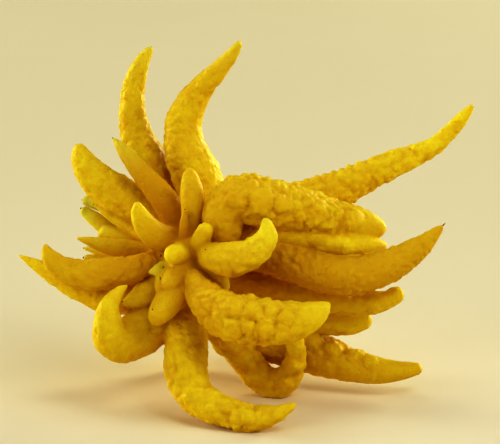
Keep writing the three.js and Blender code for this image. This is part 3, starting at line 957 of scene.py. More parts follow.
def new_group(name: str, inputs: dict[str, float], outputs: Sequence[str]) -> bpy.types.NodeTree:
    """An empty shader node group that takes places, as a vector, and numbers, and gives numbers.

    Args:
        name: the group's name.
        inputs: each number's name and default value.
        outputs: the outputs' names.

    Returns:
        The group's node tree, with its input and output nodes named In and Out.
    """
    tree = bpy.data.node_groups.new(name, "ShaderNodeTree")
    tree.interface.new_socket("Vector", in_out="INPUT", socket_type="NodeSocketVector")
    for key, value in inputs.items():
        socket = tree.interface.new_socket(key, in_out="INPUT", socket_type="NodeSocketFloat")
        socket.default_value = value
    for key in outputs:
        tree.interface.new_socket(key, in_out="OUTPUT", socket_type="NodeSocketFloat")
    tree.nodes.new("NodeGroupInput").name = "In"
    tree.nodes.new("NodeGroupOutput").name = "Out"
    return tree


def wire(tree: bpy.types.NodeTree,
         *wires: tuple[bpy.types.Node, str | int, bpy.types.Node, str | int]) -> None:
    """Joins sockets: each wire is a node and its output, then a node and its input."""
    for start, output, end, into in wires:
        tree.links.new(start.outputs[output], end.inputs[into])


def mottle_group() -> bpy.types.NodeTree:
    """Soft patches: two noises of different sizes, added, centred and multiplied out.

    Returns:
        The group, whose Mask is from 0 to 1.
    """
    tree = new_group("Mottle", {"Scale": 100, "Contrast": 2.0}, ["Mask"])
    source, out = tree.nodes["In"], tree.nodes["Out"]
    broad = add_node(tree, "TexNoise", Detail=3.0, Roughness=0.55)
    fine = add_node(tree, "TexNoise", Detail=4.0, Roughness=0.6)
    finer = add_node(tree, "Math", operation="MULTIPLY")
    finer.inputs[1].default_value = 3.7
    both = add_node(tree, "Math", operation="ADD")
    centred = add_node(tree, "Math", operation="MULTIPLY_ADD")
    shifted = add_node(tree, "Math", operation="ADD", use_clamp=True)
    shifted.inputs[1].default_value = 0.5
    less = add_node(tree, "Math", operation="MULTIPLY")
    less.inputs[1].default_value = -1.0
    wire(
        tree,
        (source, "Vector", broad, "Vector"),
        (source, "Vector", fine, "Vector"),
        (source, "Scale", broad, "Scale"),
        (source, "Scale", finer, 0),
        (finer, 0, fine, "Scale"),
        (broad, "Fac", both, 0),
        (fine, "Fac", both, 1),
        (both, 0, centred, 0),
        (source, "Contrast", centred, 1),
        (source, "Contrast", less, 0),
        (less, 0, centred, 2),
        (centred, 0, shifted, 0),
        (shifted, 0, out, "Mask"),
    )
    return tree


def pore_group() -> bpy.types.NodeTree:
    """Oil glands: the distance to the nearest of many scattered centres, as a shallow dimple.

    Returns:
        The group, whose Height rises to the rims with some grain and whose Pit is 1 in the middles.
    """
    tree = new_group("Pores", {"Scale": 900, "Width": 0.45}, ["Height", "Pit"])
    source, out = tree.nodes["In"], tree.nodes["Out"]
    cells = add_node(tree, "TexVoronoi", feature="SMOOTH_F1", Smoothness=0.35, Randomness=0.9)
    rim = add_node(tree, "MapRange", interpolation_type="SMOOTHSTEP")
    grain = add_node(tree, "TexNoise", Detail=3.0, Roughness=0.6)
    mixed = add_node(tree, "Math", operation="MULTIPLY_ADD")
    mixed.inputs[1].default_value = 0.35
    pit = add_node(tree, "Math", operation="SUBTRACT", use_clamp=True)
    pit.inputs[0].default_value = 1.0
    wire(
        tree,
        (source, "Vector", cells, "Vector"),
        (source, "Scale", cells, "Scale"),
        (source, "Vector", grain, "Vector"),
        (source, "Scale", grain, "Scale"),
        (cells, "Distance", rim, "Value"),
        (source, "Width", rim, "From Max"),
        (grain, "Fac", mixed, 0),
        (rim, "Result", mixed, 2),
        (mixed, 0, out, "Height"),
        (rim, "Result", pit, 1),
        (pit, 0, out, "Pit"),
    )
    return tree


class Shared:
    """The node groups that several materials use, each made once."""

    made: dict[str, bpy.types.NodeTree] = {}

    @classmethod
    def group(cls, name: str) -> bpy.types.NodeTree:
        """Finds a group, or makes it the first time.

        Args:
            name: Mottle or Pores.

        Returns:
            The group of that name.
        """
        makers = {"Mottle": mottle_group, "Pores": pore_group}
        if name not in cls.made:
            cls.made[name] = makers[name]()
        return cls.made[name]


class Finish:
    """A material in the making: its tree, its shader and short ways to add to them."""

    def __init__(self, name: str, roughness: float, specular: float) -> None:
        """Starts from a plain Principled shader.

        Args:
            name: the material's name.
            roughness: its roughness all over.
            specular: its specular level all over.
        """
        self.material = bpy.data.materials.new(name)
        self.material.use_nodes = True
        self.tree = self.material.node_tree
        self.shader = self.tree.nodes["Principled BSDF"]
        self.shader.inputs["Roughness"].default_value = roughness
        self.shader.inputs["Specular IOR Level"].default_value = specular
        self.place = add_node(self.tree, "TexCoord").outputs["Object"]

    def link(self, start: bpy.types.NodeSocket, end: bpy.types.NodeSocket) -> None:
        """Joins an output to an input."""
        self.tree.links.new(start, end)

    def shared(self, group: str, **values: float) -> bpy.types.Node:
        """One of the shared groups, fed with the object's own coordinates.

        Args:
            group: Mottle or Pores.
            values: the group's numbers, by their names in small letters.

        Returns:
            The group's node.
        """
        node = add_node(self.tree, "Group", node_tree=Shared.group(group))
        for key, value in values.items():
            node.inputs[key.capitalize()].default_value = value
        self.link(self.place, node.inputs["Vector"])
        return node

    def attribute(self, name: str) -> bpy.types.NodeSocket:
        """The number that the mesh stores under a name."""
        return add_node(self.tree, "Attribute", attribute_name=name).outputs["Fac"]

    def blend(self, mask: bpy.types.NodeSocket, below: Colour | bpy.types.NodeSocket,
              above: Colour | bpy.types.NodeSocket) -> bpy.types.NodeSocket:
        """Lays one colour over another where a mask is high.

        Args:
            mask: the mask's output.
            below: the colour where the mask is 0, as numbers or an output.
            above: the colour where the mask is 1, as numbers or an output.

        Returns:
            The mixed colour's output.
        """
        mix = add_node(self.tree, "Mix", data_type="RGBA")
        self.link(mask, mix.inputs[0])
        for colour, socket in ((below, mix.inputs[6]), (above, mix.inputs[7])):
            if isinstance(colour, bpy.types.NodeSocket):
                self.link(colour, socket)
            else:
                socket.default_value = (*colour, 1.0)
        return mix.outputs[2]

    def ramp(self, value: bpy.types.NodeSocket, low: float, high: float,
             start: float = 0.0, end: float = 1.0) -> bpy.types.NodeSocket:
        """Maps a value from one range to another with a smooth step, held at both ends.

        Args:
            value: the value's output.
            low: where the step begins.
            high: where it ends.
            start: the result at its beginning.
            end: the result at its end.

        Returns:
            The result's output.
        """
        node = add_node(self.tree, "MapRange", interpolation_type="SMOOTHSTEP")
        self.link(value, node.inputs["Value"])
        for key, number in (("From Min", low), ("From Max", high), ("To Min", start), ("To Max", end)):
            node.inputs[key].default_value = number
        return node.outputs["Result"]

    def times(self, a: bpy.types.NodeSocket, b: bpy.types.NodeSocket | float) -> bpy.types.NodeSocket:
        """The product of two numbers.

        Args:
            a: the first number's output.
            b: the second number, or its output.

        Returns:
            The product's output.
        """
        node = add_node(self.tree, "Math", operation="MULTIPLY")
        self.link(a, node.inputs[0])
        if isinstance(b, bpy.types.NodeSocket):
            self.link(b, node.inputs[1])
        else:
            node.inputs[1].default_value = b
        return node.outputs[0]

    def bump(self, height: bpy.types.NodeSocket, depth_mm: float, strength: float = 1.0,
             under: bpy.types.NodeSocket | None = None) -> bpy.types.NodeSocket:
        """A bump of a real depth, over another one if there is one.

        Args:
            height: the height's output, about 0 to 1.
            depth_mm: how deep a height of 1 is.
            strength: how strongly it shows.
            under: the normal of a bump below this one.

        Returns:
            The normal's output.
        """
        node = add_node(self.tree, "Bump", Strength=strength, Distance=depth_mm * MM)
        self.link(height, node.inputs["Height"])
        if under is not None:
            self.link(under, node.inputs["Normal"])
        return node.outputs["Normal"]

    def colour(self, socket: bpy.types.NodeSocket) -> None:
        """Sends an output to the base colour."""
        self.link(socket, self.shader.inputs["Base Color"])

    def roughen(self, socket: bpy.types.NodeSocket) -> None:
        """Sends an output to the roughness."""
        self.link(socket, self.shader.inputs["Roughness"])

    def shape(self, socket: bpy.types.NodeSocket) -> None:
        """Sends an output to the normal."""
        self.link(socket, self.shader.inputs["Normal"])


@dataclass(frozen=True)
class RindFinish:
    """Waxy citrus rind: lemon yellow, green at some tips, with painted shade in hollows and on some
    fingers.

    Its bump is an unevenness, the grains and the oil glands, one over the other.

    Attributes:
        yellow: the main colour.
        gold: the colour of slow patches.
        hollow_shade: the painted shade's colour on low ground and between fingers; glands take it on
            too.
        shade_amber: painted shade where fruit closes in, and the deeper gold of some fingers, partly
            painted shade.
        green: the colour towards some tips.
        tip: the colour round a dry tip.
        scar: the colour of the small scars.
        gland_share: how much of the crease's colour a gland takes on.
        hollow_shade_share: how much painted shade the low ground and the ground between fingers take on.
        occlusion_shade_share: how much painted shade the rind takes on where much fruit stands in front
            of it.
        scar_share: how much of the scars' colour shows.
        glow: how much of the light goes into the rind and comes out again.
        glow_mm: how far it goes at most.
        glow_spread: how far red, green and blue go, as shares of that.
        glint: the tint of the gloss.
    """

    yellow: Colour = (0.81, 0.635, 0.030)
    gold: Colour = (0.735, 0.52, 0.025)
    hollow_shade: Colour = (0.63, 0.37, 0.017)
    shade_amber: Colour = (0.56, 0.31, 0.015)
    green: Colour = (0.70, 0.71, 0.090)
    tip: Colour = (0.44, 0.37, 0.050)
    scar: Colour = (0.36, 0.17, 0.050)
    gland_share: float = 0.35
    hollow_shade_share: float = 0.9
    occlusion_shade_share: float = 0.75
    scar_share: float = 0.8
    glow: float = 0.16
    glow_mm: float = 3.0
    glow_spread: Colour = (1.0, 0.45, 0.08)
    glint: Colour = (1.0, 0.80, 0.30)

    def material(self) -> bpy.types.Material:
        """Builds the rind's material.

        Returns:
            The material.
        """
        finish = Finish("citron_rind", roughness=0.45, specular=0.07)
        patches = finish.shared("Mottle", scale=55.0, contrast=2.6)
        glands = finish.shared("Pores", scale=780.0, width=0.42)
        grains = finish.shared("Pores", scale=430.0, width=0.75)
        colour = finish.blend(patches.outputs["Mask"], self.yellow, self.gold)
        gland = finish.times(glands.outputs["Pit"], self.gland_share)
        colour = finish.blend(gland, colour, self.hollow_shade)
        # A deeper gold on some fingers: partly their own tint, partly painted shade.
        colour = finish.blend(finish.attribute("gold_and_shade"), colour, self.shade_amber)
        # Painted shade in the hollows of the relief and between two fingers.
        low_ground = finish.times(finish.attribute("hollow_shade"), self.hollow_shade_share)
        colour = finish.blend(low_ground, colour, self.hollow_shade)
        # Painted shade where much fruit stands close in front of the rind.
        occlusion_shaded = finish.times(finish.attribute("occlusion_shade"), self.occlusion_shade_share)
        colour = finish.blend(occlusion_shaded, colour, self.shade_amber)
        colour = finish.blend(finish.attribute("green"), colour, self.green)
        colour = finish.blend(finish.attribute("tip"), colour, self.tip)
        colour = finish.blend(self._scars(finish), colour, self.scar)
        finish.colour(colour)
        wax = finish.shared("Mottle", scale=140.0, contrast=2.0)
        finish.roughen(finish.ramp(wax.outputs["Mask"], low=0.0, high=1.0, start=0.38, end=0.56))
        uneven = add_node(finish.tree, "TexNoise", Scale=330.0, Detail=4.0, Roughness=0.6)
        finish.link(finish.place, uneven.inputs["Vector"])
        low = finish.bump(uneven.outputs["Fac"], depth_mm=0.35, strength=0.6)
        middle = finish.bump(grains.outputs["Pit"], depth_mm=0.34, strength=0.6, under=low)
        finish.shape(finish.bump(glands.outputs["Height"], depth_mm=0.18, strength=0.7, under=middle))
        shader = finish.shader
        shader.inputs["Subsurface Weight"].default_value = self.glow
        shader.inputs["Subsurface Radius"].default_value = self.glow_spread
        shader.inputs["Subsurface Scale"].default_value = self.glow_mm * MM
        shader.inputs["Specular Tint"].default_value = (*self.glint, 1.0)
        return finish.material

    def _scars(self, finish: Finish) -> bpy.types.NodeSocket:
        """A few small brown scars: the cores of sparse cells, kept only in some of them.

        Args:
            finish: the material in the making.

        Returns:
            The output of their mask.
        """
        cells = add_node(finish.tree, "TexVoronoi", feature="F1", Scale=95.0, Randomness=1.0)
        finish.link(finish.place, cells.inputs["Vector"])
        core = finish.ramp(cells.outputs["Distance"], low=0.045, high=0.085, start=1.0, end=0.0)
        split = add_node(finish.tree, "SeparateColor")
        finish.link(cells.outputs["Color"], split.inputs["Color"])
        chosen = finish.ramp(split.outputs["Red"], low=0.86, high=0.89)
        return finish.times(finish.times(core, chosen), self.scar_share)


@dataclass(frozen=True)
class SepalFinish:
    """The dry calyx: olive in two shades, with brown edges and a fine grain."""

    olive: Colour = (0.19, 0.20, 0.05)
    brown: Colour = (0.16, 0.085, 0.03)
    pale: Colour = (0.36, 0.33, 0.14)

    def material(self) -> bpy.types.Material:
        """Builds the calyx's material.

        Returns:
            The material.
        """
        finish = Finish("calyx_skin", roughness=0.72, specular=0.25)
        patches = finish.shared("Mottle", scale=260.0, contrast=2.6)
        colour = finish.blend(patches.outputs["Mask"], self.olive, self.pale)
        finish.colour(finish.blend(finish.attribute("edge"), colour, self.brown))
        grain = finish.shared("Pores", scale=1500.0, width=0.5)
        finish.shape(finish.bump(grain.outputs["Height"], depth_mm=0.15, strength=0.7))
        return finish.material


@dataclass(frozen=True)
class BarkFinish:
    """The clipped stalk: greyish brown bark with paler patches, and a pale cut end with rings."""

    bark: Colour = (0.17, 0.12, 0.06)
    pale: Colour = (0.30, 0.27, 0.15)
    wood: Colour = (0.52, 0.40, 0.22)
    ring: Colour = (0.33, 0.22, 0.10)

    def material(self) -> bpy.types.Material:
        """Builds the stalk's material.

        Returns:
            The material.
        """
        finish = Finish("stalk_bark", roughness=0.82, specular=0.2)
        patches = finish.shared("Mottle", scale=330.0, contrast=3.0)
        colour = finish.blend(patches.outputs["Mask"], self.bark, self.pale)
        cut = finish.blend(finish.attribute("ring"), self.wood, self.ring)
        finish.colour(finish.blend(finish.attribute("cut"), colour, cut))
        finish.shape(finish.bump(patches.outputs["Mask"], depth_mm=0.3, strength=0.8))
        return finish.material


@dataclass(frozen=True)
class StyleFinish:
    """The dry style remnants: near-black brown, matte, with a little grey in patches."""

    dark: Colour = (0.035, 0.02, 0.01)
    grey: Colour = (0.12, 0.085, 0.05)

    def material(self) -> bpy.types.Material:
        """Builds the remnants' material.

        Returns:
            The material.
        """
        finish = Finish("style_dry", roughness=0.85, specular=0.2)
        patches = finish.shared("Mottle", scale=900.0, contrast=2.5)
        finish.colour(finish.blend(patches.outputs["Mask"], self.dark, self.grey))
        finish.shape(finish.bump(patches.outputs["Mask"], depth_mm=0.2, strength=0.8))
        return finish.material


@dataclass(frozen=True)
class TableFinish:
    """The table: pale cream card, almost even, with the faintest cloudiness."""

    cream: Colour = (0.745, 0.635, 0.345)
    shade: Colour = (0.735, 0.625, 0.336)

    def material(self) -> bpy.types.Material:
        """Builds the table's material.

        Returns:
            The material.
        """
        finish = Finish("cream_card", roughness=0.9, specular=0.1)
        patches = finish.shared("Mottle", scale=4.0, contrast=1.6)
        finish.colour(finish.blend(patches.outputs["Mask"], self.cream, self.shade))
        return finish.material


# ---- The fruit ----


@dataclass
class Survey:
    """What each point of the rind is part of, as the palm and the fingers say in turn.

    Each of them has a say in a point that falls off as a bell curve with the distance between the
    point and its surface, so the values change over softly at the roots.

    Attributes:
        points: the rind's points before its relief, in the hand's frame.
        fades: how far from a surface its say has fallen off.
        full_grown: the radius from which a finger carries its relief at full height.
        calm_end: how far the lumps stay low at a tip.
        margin: how far beyond its surface a finger has a say.
        ring_pitch: the distance between two wrinkles.
        ring_drift: how far the wrinkles' phase drifts round a finger.
        drift_width: how wide the drift's waves are.
        first_seed: the first finger's drift; the next ones count on from it.
        gold_and_shade_span: the shares of a finger's length over which its deeper gold, partly painted
            shade, changes.
        green_reach: how far from a tip the green fades out.
        dry_reach: how far the dark of a dry tip spreads.
        dry_radius: the radius from which a tip has no dark end.
        far: the distance that stands for no neighbour.
        close: how much further than the nearest surface a neighbour's may be to count as close.
    """

    points: np.ndarray
    fades: float = 1.3
    full_grown: float = 5.5
    calm_end: float = 3.0
    margin: float = 4.0
    ring_pitch: float = 5.2
    ring_drift: float = 2.6
    drift_width: float = 9.0
    first_seed: int = 40
    gold_and_shade_span: tuple[float, float] = (0.3, 0.9)
    green_reach: float = 26.0
    dry_reach: float = 1.6
    dry_radius: float = 3.2
    far: float = 9.0
    close: float = 3.0

    def __post_init__(self) -> None:
        """Starts with nothing said about any point."""
        count = len(self.points)
        self.total = np.full(count, 1e-6)
        self.sums = {
            key: np.zeros(count) for key in ("lump", "pebble", "wrinkle", "green", "tip", "gold_and_shade")
        }
        self.nearest = np.full(count, self.far)
        self.second = np.full(count, self.far)

    def take(self, palm: Palm) -> dict[str, np.ndarray]:
        """Asks the palm and all fingers, and adds the patches and a slow unevenness.

        Args:
            palm: the undivided base.

        Returns:
            For each point: lump, pebble and wrinkle heights, how green and dry it is, how deep its gold
                is
            (partly painted shade), and how deep it lies between two fingers.
        """
        self._ask_palm(palm)
        for number, finger in enumerate(FINGERS):
            self._ask_finger(number, finger)
        for values in self.sums.values():
            values /= self.total
        for patch in PATCHES:
            fading = np.exp(-(np.linalg.norm(self.points - patch.place, axis=1) / patch.reach) ** 2)
            self.sums["lump"] += patch.lump * fading
            self.sums["pebble"] += patch.pebble * fading
        uneven = waves(self.points, 12.0, 71)
        self.sums["lump"] = np.clip(self.sums["lump"], 0, None) * (1 + 0.45 * uneven[:, 0])
        self.sums["pebble"] = np.clip(self.sums["pebble"], 0.05, None) * (1 + 0.5 * uneven[:, 1])
        self.sums["between"] = np.clip(1 - (self.second - self.nearest) / self.close, 0, 1)
        return self.sums

    def _ask_palm(self, palm: Palm) -> None:
        """Adds the palm's say, which it has in every point.

        Args:
            palm: the undivided base.
        """
        skin = palm.skin.value
        distance = np.abs(palm.distance(*self.points.T))
        everywhere = np.arange(len(self.points))
        self._count(everywhere, distance, {"lump": skin.lump, "pebble": skin.pebble})

    def _count(self, which: np.ndarray, distance: np.ndarray,
               values: dict[str, np.ndarray | float]) -> None:
        """Adds one member's say, and notes how near it is.

        Args:
            which: the numbers of the points that it has a say in.
            distance: how far each of them is from its surface.
            values: what it says about them.
        """
        say = np.exp(-((distance / self.fades) ** 2))
        self.total[which] += say
        for key, value in values.items():
            self.sums[key][which] += say * value
        second = np.maximum(self.nearest[which], distance)
        self.second[which] = np.minimum(self.second[which], second)
        self.nearest[which] = np.minimum(self.nearest[which], distance)

    def _ask_finger(self, number: int, finger: Finger) -> None:
        """Adds one finger's say about the points near it.

        The wrinkles are a wave along the finger whose phase drifts round it, and they come and go
        in slow patches. Green and the dry tip fade with the distance from the finger's end.

        Args:
            number: the finger's number, which picks its own drift.
            finger: the finger.
        """
        rows = finger.links()
        low = (rows[:, :3] - rows[:, 3:]).min(0) - self.margin
        high = (rows[:, :3] + rows[:, 3:]).max(0) + self.margin
        which = np.flatnonzero(np.all((self.points > low) & (self.points < high), axis=1))
        near = self.points[which].astype(np.float32)
        lengths = np.linalg.norm(np.diff(rows[:, :3], axis=0), axis=1)
        reached = np.concatenate([[0], np.cumsum(lengths)])
        best = np.full(len(near), np.inf)
        along, radius = np.zeros(len(near)), np.ones(len(near))
        for i, (start, end) in enumerate(zip(rows[:-1], rows[1:])):
            way = (end - start)[:3]
            share = np.clip((near - start[:3]) @ way / max(way @ way, 1e-9), 0, 1)
            here = start[3] + share * (end[3] - start[3])
            distance = np.linalg.norm(near - start[:3] - share[:, None] * way, axis=1) - here
            closer = distance < best
            best[closer] = distance[closer]
            along[closer] = (reached[i] + share * lengths[i])[closer]
            radius[closer] = here[closer]
        to_tip = reached[-1] - along
        grown = np.clip(radius / self.full_grown, 0.1, 1.0)
        relief = finger.skin.value
        drift = waves(near.astype(float), self.drift_width, self.first_seed + number)
        rings = np.sin(2 * math.pi * along / self.ring_pitch + self.ring_drift * drift[:, 0])
        patch = np.clip(0.5 + 0.9 * drift[:, 1], 0, 1)
        calm_tip = np.clip((to_tip - self.calm_end) / finger.calm, 0.15, 1)
        dry = np.exp(-((to_tip / self.dry_reach) ** 2)) * (radius < self.dry_radius)
        self._count(which, np.abs(best), {
            "lump": relief.lump * grown * calm_tip,
            "pebble": relief.pebble * grown * (0.5 + 0.5 * calm_tip),
            "wrinkle": relief.wrinkle * grown * rings * patch,
            "green": finger.green * np.clip(1 - to_tip / self.green_reach, 0, 1) ** 1.3,
            "gold_and_shade": np.interp(along / reached[-1], self.gold_and_shade_span, finger.gold_and_shade),
            "tip": 0.6 * finger.green * dry,
        })


@dataclass
class Fruit:
    """The whole grown body: palm and fingers under one rind.

    Attributes:
        hand: the hand's frame.
        palm: the undivided base.
        voxel: how finely the field is worked out.
        most_triangles: what the finished rind is thinned to.
        broad_lumps: the broad lumps of a rough finger.
        small_lumps: the lumps on and between them.
        pebbles: the small grains.
        lump_bend: how the rows of lumps are bent out of line.
        pebble_bend: how the rows of pebbles are bent out of line.
        boss_bend: how the rims of the large bulges are bent.
        swell: the rind's slow unevenness.
        seam: how deep and how wide a seam between two large bulges is.
        broad_share: how high the broad lumps are at least, and how much more in their patches.
        small_share: the same for the small ones, which are lower there.
        in_front: how far in front of a point the fruit is counted for its painted shade.
        near_reach: how far from there the fruit counts as close by.
        wide_reach: how far from there it counts as further out.
    """

    hand: HandFrame
    palm: Palm = field(default_factory=Palm)
    voxel: float = 0.72
    quick_voxel: float = 1.1
    most_triangles: int = 196_000
    broad_lumps: Domes = Domes(8.51, 11)
    small_lumps: Domes = Domes(4.884, 17)
    pebbles: Domes = Domes(3.3, 23)
    lump_bend: Drift = Drift(1.9, 11.0, 3)
    pebble_bend: Drift = Drift(0.5, 4.0, 5)
    boss_bend: Drift = Drift(0.7, 5.0, 57)
    swell: Drift = Drift(0.45, 15.0, 31)
    seam: float = 0.7
    broad_share: tuple[float, float] = (0.30, 0.45)
    small_share: tuple[float, float] = (0.90, -0.30)
    in_front: float = 5.0
    near_reach: float = 6.0
    wide_reach: float = 15.0

    def build(self) -> bpy.types.Object:
        """Makes the rind: field, surface, relief, thinning and finish, in that order.

        Returns:
            The piece.
        """
        distances = self._field()
        points, quads = distances.surface()
        rough = mesh_object("rough_rind", self.hand.place(points), self._facing_out(points, quads))
        piece = keep_largest_shell(rough)
        self._raise_relief(piece.data, distances)
        thinning = piece.modifiers.new("thin", "DECIMATE")
        thinning.ratio = min(1.0, self.most_triangles / triangle_count(piece))
        thinning.use_collapse_triangulate = True
        apply_modifiers(piece)
        write_places(piece.data, np.clip(read_points(piece.data), *CAD_BOX))
        shade_smooth(piece.data)
        piece.name = piece.data.name = "citron_rind_skin"
        piece.data.materials.append(RindFinish().material())
        return piece

    def _field(self) -> DistanceField:
        """The field of the whole fruit, palm first.

        Returns:
            The field, a little larger than the fruit.
        """
        rows = np.vstack([finger.links() for finger in FINGERS])
        margin = rows[:, 3:] + 6
        distances = DistanceField(
            (rows[:, :3] - margin).min(0),
            np.maximum((rows[:, :3] + margin).max(0), STEM_END + [40, 4, 40]),
            self.voxel,
        )
        distances.add_palm(self.palm)
        for finger in FINGERS:
            distances.add_finger(finger)
        return distances

    @staticmethod
    def _facing_out(points: np.ndarray, quads: np.ndarray) -> np.ndarray:
        """Turns the faces round if the volume that they close off comes out negative.

        Each face is two triangles, and six times a triangle's share of the volume is its first
        corner's product with the cross product of the other two.

        Args:
            points: the surface's points.
            quads: its faces, as rows of four point numbers.

        Returns:
            The faces, all pointing out.
        """
        a, b, c, d = (points[quads[:, i]] for i in range(4))
        volume = np.einsum("ij,ij->", a, np.cross(b, c)) + np.einsum("ij,ij->", a, np.cross(c, d))
        return quads if volume > 0 else quads[:, ::-1]

    def _bosses(self, points: np.ndarray) -> tuple[np.ndarray, np.ndarray, np.ndarray]:
        """The large bulges.

        Each is a cap whose height is the square root of what the squared distance from its
        middle leaves of 1, so it has a steep rim. Where caps meet, the higher one counts, and
        the closer the next one comes to it, the deeper the seam between them.

        Args:
            points: the rind's points in the hand's frame, slightly bent.

        Returns:
            For each point, the bulge's height, how much of the small lumps is smoothed away, and
            how deep the point lies in a seam or at a rim, from 0 to 1.
        """
        height, second, bare = (np.zeros(len(points)) for _ in range(3))
        for boss in BOSSES:
            away = np.linalg.norm(points - boss.place, axis=1) / boss.width
            cap = np.sqrt(np.clip(1 - away ** 2, 0, 1))
            second = np.maximum(second, np.minimum(height, boss.height * cap))
            height = np.maximum(height, boss.height * cap)
            bare = np.maximum(bare, boss.bare * cap)
        seam = np.clip(1 - (height - second) / self.seam, 0, 1) * np.clip(second / 0.6, 0, 1)
        rim = np.clip(1 - height / 0.9, 0, 1) * (height > 0)
        return height - self.seam * seam, bare, np.maximum(seam, 0.8 * rim)

    def _raise_relief(self, mesh: bpy.types.Mesh, distances: DistanceField) -> None:
        """Moves each point along its normal by the rind's relief there, and stores its marks.

        The relief is the large bulges, crowded lumps in a bent space, finer pebbles, the wrinkles
        and a slow swelling. No point is left under the table or outside the solid's box. The crease
        mark, painted shade, is how low a point lies in the relief or between two fingers. The shelter
        mark, painted shade too, is how full of fruit the space in front of it is, close by and further
        out.

        Args:
            mesh: the rind before its relief.
            distances: the field that it was read off.
        """
        places, facing = read_points(mesh), read_points(mesh, "normal")
        points = self.hand.find(places)
        found = Survey(points).take(self.palm)
        bent = points + self.lump_bend.at(points)
        broad = np.clip(0.5 + 0.9 * waves(points, 17.0, 91)[:, 0], 0, 1)
        lumps = (self.broad_share[0] + self.broad_share[1] * broad) * self.broad_lumps.at(bent)
        lumps += (self.small_share[0] + self.small_share[1] * broad) * self.small_lumps.at(bent)
        pebbles = self.pebbles.at(points + self.pebble_bend.at(points))
        bulge, bare, seam = self._bosses(points + self.boss_bend.at(points))
        lumps = lumps * (1 - bare)
        height = (
            0.9 * bulge + found["lump"] * lumps + found["pebble"] * pebbles + found["wrinkle"]
            + self.swell.at(points)[:, 0]
        )
        write_places(mesh, np.clip(places + facing * (height * MM)[:, None], *CAD_BOX))
        mesh.update()
        # Painted shade: the hollows of the lumps and pebbles, the seams and rims of the bulges, and the
        # ground between two fingers.
        low_ground = (
            0.5 * seam + found["lump"] * np.clip(-lumps, 0, 1)
            + 0.5 * found["pebble"] * np.clip(-pebbles, 0, 1)
        )
        hollow_shade = np.clip(1.25 * low_ground, 0, 0.8) + 0.45 * found["between"]
        # Painted shade: how full of fruit the space in front of each point is, close by and further out.
        in_front = points + self.in_front * self.hand.turn(facing, back=True)
        close = np.clip((distances.crowding(in_front, self.near_reach) - 0.22) / 0.45, 0, 1)
        wide = np.clip((distances.crowding(in_front, self.wide_reach) - 0.28) / 0.35, 0, 1)
        write_attribute(mesh, "hollow_shade", np.clip(hollow_shade, 0, 1))
        write_attribute(mesh, "occlusion_shade", 0.6 * close + 0.2 * wide)
        # The deeper gold that the fingers carry is partly painted shade.
        for mark in ("green", "gold_and_shade", "tip"):
            write_attribute(mesh, mark, found[mark])


# ---- The style remnants ----


@dataclass(frozen=True)
class Stub:
    """One dry stub.

    Attributes:
        foot: where it stands, in row millimetres.
        way: the way it points, in the row's frame.
        length: its length.
        radius: its radius at the foot.
    """

    foot: np.ndarray
    way: np.ndarray
    length: float
    radius: float


